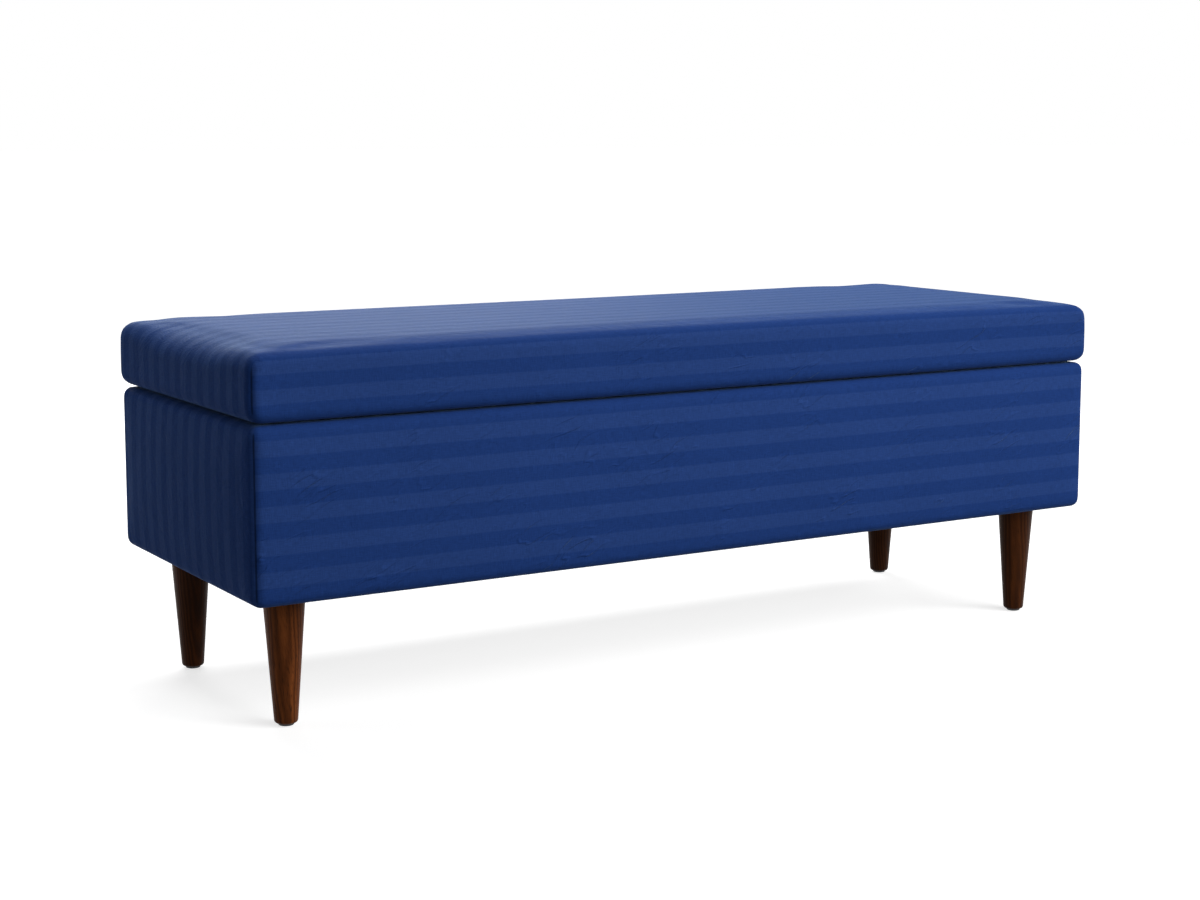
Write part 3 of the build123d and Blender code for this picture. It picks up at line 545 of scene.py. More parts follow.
def fine_creases(tree, cloth):
    """Short creases, a millimetre wide, that gather in places and slant up to the right."""
    slant, crease_length, crease_gap = -0.5, 1 / 16, 1 / 62
    slanted = add_node(
        tree,
        "ShaderNodeMapping",
        {"Vector": cloth, "Rotation": (0.0, 0.0, slant), "Scale": (crease_length, crease_gap, 1.0)},
        vector_type="TEXTURE",
    )
    strain = add_node(
        tree,
        "ShaderNodeTexNoise",
        {"Vector": slanted, "Scale": 1.0, "Detail": 1.5, "Distortion": 0.2},
    )
    # a ridge runs where the noise crosses its middle
    from_middle = add_node(tree, "ShaderNodeMath", {0: strain, 1: 0.5}, operation="SUBTRACT")
    from_middle = add_node(tree, "ShaderNodeMath", {0: from_middle}, operation="ABSOLUTE")
    ridge = add_node(
        tree,
        "ShaderNodeMapRange",
        {"Value": from_middle, "From Min": 0.0, "From Max": 0.045, "To Min": 1.0, "To Max": 0.0},
        interpolation_type="SMOOTHSTEP",
    )
    # they gather in places about 90 mm wide
    gathered = add_node(tree, "ShaderNodeTexNoise", {"Vector": cloth, "Scale": 11.0, "Detail": 2.0})
    gathered = add_node(
        tree, "ShaderNodeMapRange", {"Value": gathered, "From Min": 0.48, "From Max": 0.66}
    )
    strained = add_node(tree, "ShaderNodeAttribute", attribute_name="strained").outputs["Fac"]
    creased = add_node(tree, "ShaderNodeMath", {0: ridge, 1: gathered}, operation="MULTIPLY")
    return add_node(tree, "ShaderNodeMath", {0: creased, 1: strained}, operation="MULTIPLY")


def striped_cotton(name):
    """Piece-dyed cotton, satin bands beside plain ones: the satin bands look paler and greyer.

    Reads the cloth map, whose v is across the stripes with 0 in the middle of a light band, the
    seam attribute, which is the distance to the nearest seam, and by which the colour is darkened
    beside a seam as painted shade, and the strained attribute, which is how creased the cloth is.
    """
    material, tree, shader = start_material(
        name,
        Specular_IOR_Level=0.03,
        Sheen_Weight=0.118,
        Sheen_Roughness=0.3,
        Sheen_Tint=linear("#C4EEFF"),
    )
    cloth = add_node(tree, "ShaderNodeUVMap", uv_map="cloth")
    place = add_node(tree, "ShaderNodeTexCoord").outputs["Object"]
    dark = dark_bands(tree, cloth)
    band = add_node(
        tree,
        "ShaderNodeMix",
        {0: dark, 6: linear("#27427D"), 7: linear("#1F3B77")},
        data_type="RGBA",
    )
    satin = add_node(tree, "ShaderNodeMapRange", {"Value": dark, "To Min": 0.715, "To Max": 0.76})
    yarns = yarn_flecks(tree, cloth)
    shade = add_node(
        tree,
        "ShaderNodeMapRange",
        {"Value": yarns, "From Min": 0.6, "From Max": 1.4, "To Min": 0.8, "To Max": 1.2},
    )
    # worn patches about 140 mm wide
    patches = add_node(tree, "ShaderNodeTexNoise", {"Vector": place, "Scale": 7.0, "Detail": 4.0})
    worn = add_node(tree, "ShaderNodeMapRange", {"Value": patches, "To Min": 0.93, "To Max": 1.07})
    tone_and_painted_light = add_node(tree, "ShaderNodeMath", {0: shade, 1: worn}, operation="MULTIPLY")
    seam = add_node(tree, "ShaderNodeAttribute", attribute_name="seam").outputs["Fac"]
    # painted shade: the colour darkens to 0.3 of itself at a seam and back to full 2 mm from it,
    # for the shade in the seam's groove
    painted_seam_shade = add_node(
        tree,
        "ShaderNodeMapRange",
        {"Value": seam, "From Min": 0.0003, "From Max": 0.0022, "To Min": 0.3, "To Max": 1.0},
        interpolation_type="SMOOTHSTEP",
    )
    creased = fine_creases(tree, cloth)
    # the crease ridges are up to 5 % paler: partly rubbed wear, partly a painted highlight along
    # them
    rubbed_and_painted_highlight = add_node(tree, "ShaderNodeMapRange", {"Value": creased, "To Min": 1.0, "To Max": 1.05})
    tone_and_painted_light = add_node(tree, "ShaderNodeMath", {0: tone_and_painted_light, 1: rubbed_and_painted_highlight}, operation="MULTIPLY")
    tone_and_painted_light = add_node(tree, "ShaderNodeMath", {0: tone_and_painted_light, 1: painted_seam_shade}, operation="MULTIPLY")
    colour = add_node(tree, "ShaderNodeVectorMath", {0: band, "Scale": tone_and_painted_light}, operation="SCALE")
    # soft crumples about 36 mm apart, then the creases, then the yarns
    crumple = add_node(
        tree,
        "ShaderNodeTexNoise",
        {"Vector": place, "Scale": 28.0, "Detail": 3.0, "Roughness": 0.55, "Distortion": 0.9},
    )
    bump = add_node(
        tree,
        "ShaderNodeBump",
        {"Height": crumple, "Strength": 0.6, "Distance": 0.0022},
    )
    for height, strength, distance in ((creased, 0.9, 0.0010), (yarns, 0.5, 0.0004)):
        bump = add_node(
            tree,
            "ShaderNodeBump",
            {"Height": height, "Strength": strength, "Distance": distance, "Normal": bump},
        )
    feed(shader, {"Roughness": satin, "Base Color": colour, "Normal": bump})
    return material


cotton = striped_cotton("navy_striped_cotton")


def sleeve_spots(stations, corner_steps):
    """The stations round a sleeve: those of each panel's run, and of the turn to the next panel."""
    spots = []
    for panel in range(4):
        count = stations[panel % 2]
        spots += [(panel, "run", step / count) for step in range(count)]
        spots += [(panel, "turn", step / corner_steps) for step in range(corner_steps)]
    return spots


def sleeve_ring(spot, halves, corner, section):
    """The points of the section at one station."""
    panel, kind, share = spot
    half, other = halves[panel % 2], halves[(panel + 1) % 2]
    heading = panel * QUARTER
    ahead = np.array((math.cos(heading), math.sin(heading)))
    out = np.array((math.sin(heading), -math.cos(heading)))
    ring = []
    for inset, height in section:
        radius = max(corner - inset, 0.001)
        run = half - inset - radius
        if kind == "run":
            flat = ahead * (2 * share - 1) * run + out * (other - inset)
        else:
            angle = share * QUARTER
            forward = run + radius * math.sin(angle)
            sideways = other - inset - radius + radius * math.cos(angle)
            flat = ahead * forward + out * sideways
        ring.append((flat[0], flat[1], height))
    return ring


def along_panel(spot, halves, corner):
    """How far round a panel a station lies, from the panel's middle."""
    panel, kind, share = spot
    straight = halves[panel % 2] - corner
    if kind == "run":
        return (2 * share - 1) * straight
    return straight + corner * share * QUARTER


def strip_of_cloth(spots, step, halves, corner):
    """The panel that the strip after a station is cut from, and where its two edges lie on it.

    One panel's cloth ends, and the next one's begins, half-way round a corner.
    """
    panel, kind, share = spots[step]
    following = spots[(step + 1) % len(spots)]
    edges = [along_panel(spot, halves, corner) for spot in (spots[step], following)]
    if kind == "turn" and share >= 0.5:
        straight, next_straight = halves[panel % 2] - corner, halves[(panel + 1) % 2] - corner
        edges[0] = edges[0] - straight - corner * QUARTER - next_straight
        if following[1] == "turn":
            edges[1] = edges[1] - straight - corner * QUARTER - next_straight
        panel = (panel + 1) % 4
    return panel, edges


def sleeve(name, halves, corner, section, stations, corner_steps, mapping):
    """A closed section, as (inset, height) points, swept round a rounded rectangle.

    halves and stations are for x and y, and corner_steps is even. mapping(panel, along, index)
    gives the cloth map of a point of the section: panel is 0 front, 1 right, 2 back and 3 left,
    and along is the length round that panel from its middle.
    """
    spots = sleeve_spots(stations, corner_steps)
    points = [point for spot in spots for point in sleeve_ring(spot, halves, corner, section)]
    rows = len(section)
    faces, maps = [], []
    for step in range(len(spots)):
        here, there = step * rows, (step + 1) % len(spots) * rows
        panel, (first, last) = strip_of_cloth(spots, step, halves, corner)
        for index in range(rows):
            above = (index + 1) % rows
            faces.append((here + index, there + index, there + above, here + above))
            corners = (first, index), (last, index), (last, index + 1), (first, index + 1)
            maps.append([mapping(panel, along, number) for along, number in corners])
    return new_piece(name, points, faces, maps), spots


def new_piece(name, points, faces, maps=None):
    """A mesh object, shaded smooth, with its cloth map."""
    mesh = bpy.data.meshes.new(name)
    mesh.from_pydata([tuple(point) for point in points], [], faces)
    if maps is not None:
        layer = mesh.uv_layers.new(name="cloth")
        layer.data.foreach_set("uv", np.array(maps, np.float32).ravel())
    mesh.shade_smooth()
    made = bpy.data.objects.new(name, mesh)
    scene.collection.objects.link(made)
    return made


def places_of(mesh):
    """A mesh's points as rows of x, y, z."""
    values = np.zeros(len(mesh.vertices) * 3, np.float32)
    mesh.vertices.foreach_get("co", values)
    return values.reshape(-1, 3).astype(float)


def normals_of(mesh):
    """The outward direction at each point."""
    values = np.zeros(len(mesh.vertices) * 3, np.float32)
    mesh.vertex_normals.foreach_get("vector", values)
    return values.reshape(-1, 3).astype(float)


def move_to(mesh, places):
    """Puts a mesh's points somewhere else."""
    mesh.vertices.foreach_set("co", places.astype(np.float32).ravel())
    mesh.update()


def pressed_out(trial, held, pressure):
    """How far a closed cloth's points move when pressure fills it. held is 1 where they can't."""
    before = places_of(trial.data)
    group = trial.vertex_groups.new(name="held")
    for index in np.flatnonzero(held):
        group.add([int(index)], float(held[index]), "REPLACE")
    cloth = trial.modifiers.new("stuffing", "CLOTH")
    cloth.settings.quality = 4
    cloth.settings.mass = 0.3
    cloth.settings.tension_stiffness = 20.0
    cloth.settings.compression_stiffness = 20.0
    cloth.settings.shear_stiffness = 8.0
    cloth.settings.bending_stiffness = 0.4
    cloth.settings.vertex_group_mass = "held"
    cloth.settings.use_pressure = True
    cloth.settings.uniform_pressure_force = pressure
    cloth.settings.effector_weights.gravity = 0.0
    cloth.collision_settings.use_collision = False
    frames = 20
    for number in range(1, frames + 1):
        scene.frame_set(number)
    ready = trial.evaluated_get(bpy.context.evaluated_depsgraph_get())
    moved = places_of(ready.data) - before
    scene.frame_set(1)
    return moved


def carried_over(before, moved, start, size):
    """How far points at start move when they follow the nearest points of a mesh of that size."""
    tree = KDTree(len(before))
    for index, place in enumerate(before):
        tree.insert(place, index)
    tree.balance()
    carried = np.zeros_like(start)
    for index, place in enumerate(start):
        near = tree.find_n(place, 8)
        pull = np.array([math.exp(-((gap / size) ** 2)) + 1e-9 for _, _, gap in near])
        carried[index] = pull @ moved[[spot for _, spot, _ in near]] / pull.sum()
    return carried


def swelled(piece, held_at, pressure, most, even=None):
    """Where a closed cover's points go when its stuffing presses out, by cloth simulation.

    held_at(places) is 1 where the cover is fixed. A cover that needs an even mesh for this is
    remeshed at that size on a copy, and its own points follow the nearest ones of the copy.
    The foam under the cloth lets it move in by little. No point moves further than most.
    """
    start = places_of(piece.data)
    outward = normals_of(piece.data)
    trial = bpy.data.objects.new("trial", piece.data.copy())
    scene.collection.objects.link(trial)
    if even is not None:
        remesh = trial.modifiers.new("even", "REMESH")
        remesh.mode = "VOXEL"
        remesh.voxel_size = even
        ready = trial.evaluated_get(bpy.context.evaluated_depsgraph_get())
        trial.data = bpy.data.meshes.new_from_object(ready)
        trial.modifiers.clear()
    before = places_of(trial.data)
    moved = pressed_out(trial, held_at(before), pressure)
    bpy.data.objects.remove(trial)
    length = np.linalg.norm(moved, axis=1, keepdims=True)
    moved *= most * np.tanh(length / most) / np.maximum(length, 1e-9)
    if even is not None:
        moved = carried_over(before, moved, start, even)
    foam_resists = 0.8
    inward = np.minimum((moved * outward).sum(axis=1, keepdims=True), 0.0)
    return start + moved - foam_resists * inward * outward


def subdivide(piece):
    """One level of subdivision, made real. Creased edges stay sharp, and the cloth map even."""
    smooth = piece.modifiers.new("smooth", "SUBSURF")
    smooth.levels = smooth.render_levels = 1
    smooth.uv_smooth = "NONE"
    ready = piece.evaluated_get(bpy.context.evaluated_depsgraph_get())
    mesh = bpy.data.meshes.new_from_object(ready)
    old = piece.data
    piece.modifiers.clear()
    piece.data = mesh
    mesh.name = piece.name
    bpy.data.meshes.remove(old)


def crease_edges(mesh, chosen):
    """Keeps the edges between chosen points sharp when the mesh is subdivided."""
    ends = np.zeros(len(mesh.edges) * 2, np.int32)
    mesh.edges.foreach_get("vertices", ends)
    ends = ends.reshape(-1, 2)
    sharp = (chosen[ends[:, 0]] & chosen[ends[:, 1]]).astype(np.float32)
    attribute = mesh.attributes.new("crease_edge", "FLOAT", "EDGE")
    attribute.data.foreach_set("value", sharp)


def distance_to(spots, places):
    """Each place's distance to the nearest of the spots."""
    batch = 4000  # places taken at a time, to spare memory
    gaps = [
        np.linalg.norm(places[start : start + batch, None, :] - spots[None, :, :], axis=2)
        .min(axis=1)
        for start in range(0, len(places), batch)
    ]
    return np.concatenate(gaps)


def mark(mesh, name, values):
    """Writes one value a point, for a material to read."""
    attribute = mesh.attributes.new(name, "FLOAT", "POINT")
    attribute.data.foreach_set("value", values.astype(np.float32))


def upright_seams(high, rounding, heights):
    """The lines of the four corner seams of a cover with that highest corner, as points."""
    in_from_corner = rounding * (1 - math.sqrt(0.5))
    x, y = high.x - in_from_corner, high.y - in_from_corner
    return [
        np.array([(side_x * x, side_y * y, z) for z in heights])
        for side_x in (-1, 1)
        for side_y in (-1, 1)
    ]


def stitched(mesh, seams, depth, width):
    """Where a cover's points go when the stitches draw the cloth in, and which way they face.

    Marks the seams for the cotton, and how creased it is: fully on the long sides, and little on
    the top and the ends.
    """
    gap = distance_to(np.concatenate(seams), places_of(mesh))
    places, normals = places_of(mesh), normals_of(mesh)
    mark(mesh, "seam", gap)
    least = 0.15
    mark(mesh, "strained", least + (1 - least) * normals[:, 1] ** 4)
    return places - normals * (depth * np.exp(-((gap / width) ** 2)))[:, None], normals


def side_crease(draw, x, y, z, reaches, slants, widths):
    """A crease on a long side. draw(low, high) picks its length, slant, width and height."""
    reach = draw(*reaches)
    rise = reach * draw(*slants)
    return (x, y, z), (x + reach, y, z + rise), draw(*widths), draw(0.0002, 0.0005)


def pressed_creases(places, creases):
    """How far creases raise each point. A crease is its two ends, its width and its height."""
    lift = np.zeros(len(places))
    for start, end, width, height in creases:
        start, end = np.array(start), np.array(end)
        run = end - start
        share = np.clip((places - start) @ run / (run @ run), 0.0, 1.0)
        gap = np.linalg.norm(places - start - share[:, None] * run, axis=1)
        fade = np.sin(np.pi * np.clip(share, 0.02, 0.98))
        # a ridge with a shallow valley on each side of it
        ridge = np.exp(-((gap / width) ** 2))
        valley = 0.45 * np.exp(-((gap / (2.2 * width)) ** 2))
        lift += height * fade * (ridge - valley)
    return lift


def near_leaves(places, node):
    """Which points lie under a solid's hinge leaves or just beside them, at any height."""
    beside = 0.002
    near = np.zeros(len(places), bool)
    for low, high in separate_bodies(node):
        near |= (
            (places[:, 0] > low[0] - beside)
            & (places[:, 0] < high[0] + beside)
            & (places[:, 1] > low[1] - beside)
        )
    return near


box_low, box_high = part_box("box_cover")
SEAM_HEIGHT = (box_high.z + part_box("lid_cover")[0].z) / 2
CLOTH = 0.001
CORNER = 0.013
TOP_ROUND = 0.012
FOOT_ROUND = 0.0125
HALF_OPENING = 0.605  # from the middle of the bench to the cover's turned-in edge
turn_in = box_high.x - HALF_OPENING
TURN_DOWN = 0.332  # how high the cover ends inside the walls

# the section runs out from the stapled edge, up the wall, over the rim and down inside it, and
# back along the inside of the cloth; its bare numbers only divide the flat stretches
section = [(inset, box_low.z) for inset in (turn_in, 0.024, 0.018)]
section += [
    (FOOT_ROUND * (1 - math.sin(a)), box_low.z + FOOT_ROUND * (1 - math.cos(a)))
    for a in np.linspace(0, QUARTER, 5)
]
wall_start = len(section)
wall_heights = np.linspace(box_low.z + FOOT_ROUND, box_high.z - TOP_ROUND, 24)[1:-1]
section += [(0.0, height) for height in wall_heights]
section += [
    (TOP_ROUND * (1 - math.cos(a)), box_high.z - TOP_ROUND * (1 - math.sin(a)))
    for a in np.linspace(0, QUARTER, 5)
]
section += [(inset, box_high.z) for inset in (0.0165, 0.0225, turn_in - 0.0015)]
outside_end = len(section)
section += [(turn_in, height) for height in (box_high.z - 0.0015, 0.356, 0.344, TURN_DOWN)]
back = turn_in - CLOTH
section += [(back, TURN_DOWN), (back, box_high.z - CLOTH), (TOP_ROUND, box_high.z - CLOTH)]
section += [(CLOTH, box_high.z - TOP_ROUND), (CLOTH, box_low.z + FOOT_ROUND)]
section += [(FOOT_ROUND, box_low.z + CLOTH), (turn_in, box_low.z + CLOTH)]
steps = np.linalg.norm(np.diff(np.array(section + section[:1]), axis=0), axis=1)
lengths = np.concatenate(([0.0], np.cumsum(steps)))
at_wall_foot = lengths[wall_start - 1]
# on the long sides the first light band is centred 27.5 mm below the seam
LIGHT_BELOW_SEAM = 0.0275
down_from_seam = (
    SEAM_HEIGHT - (box_low.z + FOOT_ROUND) - (lengths - at_wall_foot) - LIGHT_BELOW_SEAM
)


def box_map(panel, along, index):
    """Level stripes on the long sides, upright stripes on the ends."""
    if panel % 2 == 0:
        return (along, down_from_seam[index])
    return (lengths[index], along)


box_halves = (box_high.x, box_high.y)
box_cover, box_spots = sleeve(
    "box_upholstery",
    box_halves,
    CORNER,
    section,
    stations=(140, 47),
    corner_steps=4,
    mapping=box_map,
)
seam_steps = np.array([kind == "turn" and share == 0.5 for _, kind, share in box_spots])
outer = np.zeros(len(section), bool)
outer[2 : outside_end + 1] = True
on_seam = (seam_steps[:, None] & outer[None, :]).ravel()
crease_edges(box_cover.data, on_seam)


def past_walls(places):
    """How far each place lies outside the walls' faces. Inside them it is below 0."""
    return np.maximum(np.abs(places[:, 0]) - box_high.x, np.abs(places[:, 1]) - box_high.y)


# the foam pushes the cover out a little between the rim, the foot and the corner seams
ON_FACE = 0.0005  # a point this near to a face is on it
GRIPPED = 0.008  # the cover keeps still this near to the foot and the rim
start = places_of(box_cover.data)
face_z = np.clip((start[:, 2] - box_low.z) / (box_high.z - box_low.z), 0, 1)
on_wall = (
    (past_walls(start) > -ON_FACE)
    & (start[:, 2] > box_low.z + GRIPPED)
    & (start[:, 2] < box_high.z - GRIPPED)
)
fixed = np.where(on_wall, 0.0, 1.0)
fixed[on_seam] = 1.0
move_to(box_cover.data, swelled(box_cover, lambda places: fixed, pressure=3.0, most=0.003))

END_CROWN = 0.001
FRONT_CROWN = 0.0005
places = places_of(box_cover.data)
rise = np.sin(np.pi * face_z) ** 0.8
end_share = np.clip(1 - (places[:, 1] / box_high.y) ** 2, 0, 1)
front_share = np.clip(1 - (places[:, 0] / box_high.x) ** 8, 0, 1)
on_end = np.abs(start[:, 0]) > box_high.x - ON_FACE
on_long = np.abs(start[:, 1]) > box_high.y - ON_FACE
places[:, 0] += np.where(on_end, np.sign(places[:, 0]) * END_CROWN * rise * end_share, 0)
places[:, 1] += np.where(on_long, np.sign(places[:, 1]) * FRONT_CROWN * rise * front_share, 0)
move_to(box_cover.data, places)
subdivide(box_cover)

mesh = box_cover.data
seam_foot, seam_rim = box_low.z + 0.004, box_high.z - 0.002
box_seams = upright_seams(box_high, CORNER, np.linspace(seam_foot, seam_rim, 260))
places, normals = stitched(mesh, box_seams, depth=0.0006, width=0.0020)
# the cloth has a few short soft creases, most of them low on the long sides
draw = np.random.default_rng(7).uniform
CREASED_FROM, CREASED_UP = 0.17, 0.17
creases = []
for side in (-1, 1):
    for _ in range(46):
        x = draw(-0.60, 0.58)
        z = CREASED_FROM + CREASED_UP * draw(0, 1) ** 1.6
        creases.append(
            side_crease(
                draw, x, side * box_high.y, z, (0.012, 0.045), (-0.25, 0.6), (0.0024, 0.0042)
            )
        )
CURVED_IN = 0.006  # the rounded corners curve in from the faces by less than this
outside = (normals[:, 2] < 0.5) & (past_walls(places) > -CURVED_IN)
lift = np.where(outside, pressed_creases(places, creases), 0.0)
places += normals * lift[:, None]
# the hinge leaves press into the rim
LEAF_SINK = 0.0007
LEAF_REACH = 0.004  # how deep below the rim the cloth gives way to them
pressed = near_leaves(places, "hinge_base_leaves") & (places[:, 2] > box_high.z - LEAF_REACH)
places[pressed, 2] = np.minimum(places[pressed, 2], box_high.z - LEAF_SINK)
move_to(mesh, places)
mesh.materials.append(cotton)
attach(box_cover, "base")
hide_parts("box_cover")

# --- lining of the well -------------------------------------------------------------------------
# Black non-woven polypropylene, point-bonded from fine fibres, lines the walls over the turned-in
# cover, and a board wrapped in the same cloth lies on the floor.


def non_woven(name):
    """Spunbond cloth: dull black with rows of small pressed dots and stray fibres."""
    material, tree, shader = start_material(
        name, Roughness=0.85, Specular_IOR_Level=0.3, Sheen_Weight=0.2, Sheen_Roughness=0.5
    )
    place = add_node(tree, "ShaderNodeTexCoord").outputs["Object"]
    dot = 0.0025  # the real dots are 1.2 mm apart, drawn twice as coarse so that they show
    dots = add_node(
        tree, "ShaderNodeTexVoronoi", {"Vector": place, "Scale": 1 / dot, "Randomness": 0.25}
    )
    pressed = add_node(
        tree,
        "ShaderNodeMapRange",
        {"Value": dots.outputs["Distance"], "From Min": 0.15, "From Max": 0.35},
    )
    # the fibres are 0.02 mm thick, and drawn as wisps of 2 mm so that they show
    fibres = add_node(
        tree,
        "ShaderNodeTexNoise",
        {"Vector": place, "Scale": 450.0, "Detail": 4.0, "Distortion": 3.0},
    )
    dust = add_node(
        tree,
        "ShaderNodeMix",
        {0: fibres, 6: linear("#16171A"), 7: linear("#34363B")},
        data_type="RGBA",
    )
    height = add_node(
        tree, "ShaderNodeMath", {0: fibres, 1: 0.35, 2: pressed}, operation="MULTIPLY_ADD"
    )
    bump = add_node(tree, "ShaderNodeBump", {"Height": height, "Strength": 0.6, "Distance": 0.0002})
    feed(shader, {"Base Color": dust, "Normal": bump})
    return material


lining = non_woven("black_spunbond_lining")
floor_low, floor_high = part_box("floor_lining")
# the lining's visible face lies this far in, and a little further over the turned-in cover
face = box_high.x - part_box("right_panel")[0].x + CLOTH
lap = face + 0.001
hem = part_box("box_lining")[1].z
EASE = 0.0002  # left free between two cloths
LINING, HEM = 0.0007, 0.0008  # how thick the lining and its hem are
lining_section = [(face - EASE, floor_low.z + EASE), (face, floor_high.z + 0.002)]
wall_rows = np.linspace(floor_high.z + 0.02, TURN_DOWN - 0.004, 9)
lining_section += [(face, height) for height in wall_rows]
lining_section += [(lap, height) for height in (TURN_DOWN + 0.001, 0.345, hem - 0.002)]
lining_section += [(lap - 0.0003, hem), (lap - HEM, hem)]
lining_section += [(lap - HEM, TURN_DOWN + 0.003), (face - LINING, TURN_DOWN - 0.003)]
lining_section += [(face - LINING, floor_low.z + EASE)]
lining_section.reverse()


def plain_map(panel, along, index):
    """Plain cloth has no pattern to place."""
    return (along, 0.01 * index)


well_lining, _ = sleeve(
    "well_lining",
    box_halves,
    CORNER,
    lining_section,
    stations=(90, 30),
    corner_steps=2,
    mapping=plain_map,
)
places, normals = places_of(well_lining.data), normals_of(well_lining.data)
LOOSE = 0.00025  # the cloth stands this far off the wall in places
across = places[:, 0] * 61 + 2 * np.sin(places[:, 2] * 40)
wave = LOOSE * np.sin(across) * np.sin(places[:, 1] * 47 + 1.3)
inside = normals[:, 0] * np.sign(places[:, 0]) + normals[:, 1] * np.sign(places[:, 1]) < -0.2
places += normals * np.where(inside, np.maximum(wave, 0), 0.0)[:, None]
move_to(well_lining.data, places)
well_lining.data.materials.append(lining)
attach(well_lining, "base")
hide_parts("box_lining")


def thin_slab(name, half_x, half_y, low, high, cells_x, cells_y, sag):
    """A closed thin board or cloth, which sags or swells unevenly by up to sag.

    Its outermost cells are narrow, so that the smooth shading stays flat up to the rim.
    """
    rim = 0.0006
    xs = np.concatenate(([-half_x], np.linspace(rim - half_x, half_x - rim, cells_x - 1), [half_x]))
    ys = np.concatenate(([-half_y], np.linspace(rim - half_y, half_y - rim, cells_y - 1), [half_y]))
    points = [(x, y, z) for z in (low, high) for x in xs for y in ys]
    layer = (cells_x + 1) * (cells_y + 1)
    width = cells_y + 1
    faces = []
    for i in range(cells_x):
        for j in range(cells_y):
            a, b = i * width + j, (i + 1) * width + j
            faces.append((a, a + 1, b + 1, b))
            faces.append((layer + a, layer + b, layer + b + 1, layer + a + 1))
    for i in range(cells_x):
        a, b = i * width, (i + 1) * width
        faces.append((a, b, layer + b, layer + a))
        a, b = a + cells_y, b + cells_y
        faces.append((b, a, layer + a, layer + b))
    for j in range(cells_y):
        a = j
        faces.append((a + 1, a, layer + a, layer + a + 1))
        a = cells_x * width + j
        faces.append((a, a + 1, layer + a + 1, layer + a))
    piece = new_piece(name, points, faces)
    places = places_of(piece.data)
    x, y = places[:, 0], places[:, 1]
    share_x = 1 - (x / half_x) ** 6
    share_y = 1 - (y / half_y) ** 6
    uneven = np.sin(x * 23 + 1.7 * np.sin(y * 31)) * np.sin(y * 19 + x * 9)
    places[:, 2] += sag * share_x * share_y * (0.6 + 0.4 * uneven)
    move_to(piece.data, places)
    return piece


floor_cloth = thin_slab(
    "well_floor_lining",
    floor_high.x - EASE,
    floor_high.y - EASE,
    floor_low.z,
    floor_high.z - 0.0003,
    cells_x=80,
    cells_y=28,
    sag=0.0003,
)
floor_cloth.data.materials.append(lining)
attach(floor_cloth, "base")
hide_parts("floor_lining")

# --- dust cover ---------------------------------------------------------------------------------
# A thin black cloth of the same kind closes the underside round the leg plates. Its edge is
# folded under and held by steel staples a few centimetres apart.

dust_low, dust_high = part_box("dust_cover")
dress(lining, "dust_cover")

staple_tree, staple_in = new_tree("staple", Crown=0.0095, Wire=0.0011, Standing=0.0006)
wire = add_node(
    staple_tree,
    "ShaderNodeCombineXYZ",
    {0: staple_in["Crown"], 1: staple_in["Wire"], 2: staple_in["Standing"]},
)
crown = add_node(staple_tree, "GeometryNodeMeshCube", {"Size": wire})
finish_tree(staple_tree, staple_in, scatter(staple_tree, crown, staple_in))
galvanised = plated_steel("galvanised_staple_wire", "#8F959B", 0.42)


def staple_round(name, body, half_x, half_y, height, pitch):
    """Staples under a rectangle's edge, each running nearly along it."""
    places, running = [], []
    swing = np.random.default_rng(int(half_x * 1e4))
    for side in (-1, 1):
        for x in np.arange(-half_x + pitch / 2, half_x, pitch):
            places.append((x, side * half_y, height))
            running.append((1.0, swing.uniform(-0.2, 0.2), 0.0))
        for y in np.arange(-half_y + pitch / 2, half_y, pitch):
            places.append((side * half_x, y, height))
            running.append((swing.uniform(-0.2, 0.2), 1.0, 0.0))
    made = grown(name, staple_tree, galvanised, places, [(0.0, 0.0, -1.0)] * len(places), running)
    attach(made, body)


FROM_EDGE = 0.007
staple_round(
    "dust_cover_staples",
    "base",
    dust_high.x - FROM_EDGE,
    dust_high.y - FROM_EDGE,
    dust_low.z,
    pitch=0.045,
)

# --- legs ---------------------------------------------------------------------------------------
# Four round tapered legs, turned from a hardwood with an open grain, stained walnut and sprayed
# with a satin lacquer. Each screws on a hanger bolt into a steel plate and stands on a nylon glide.


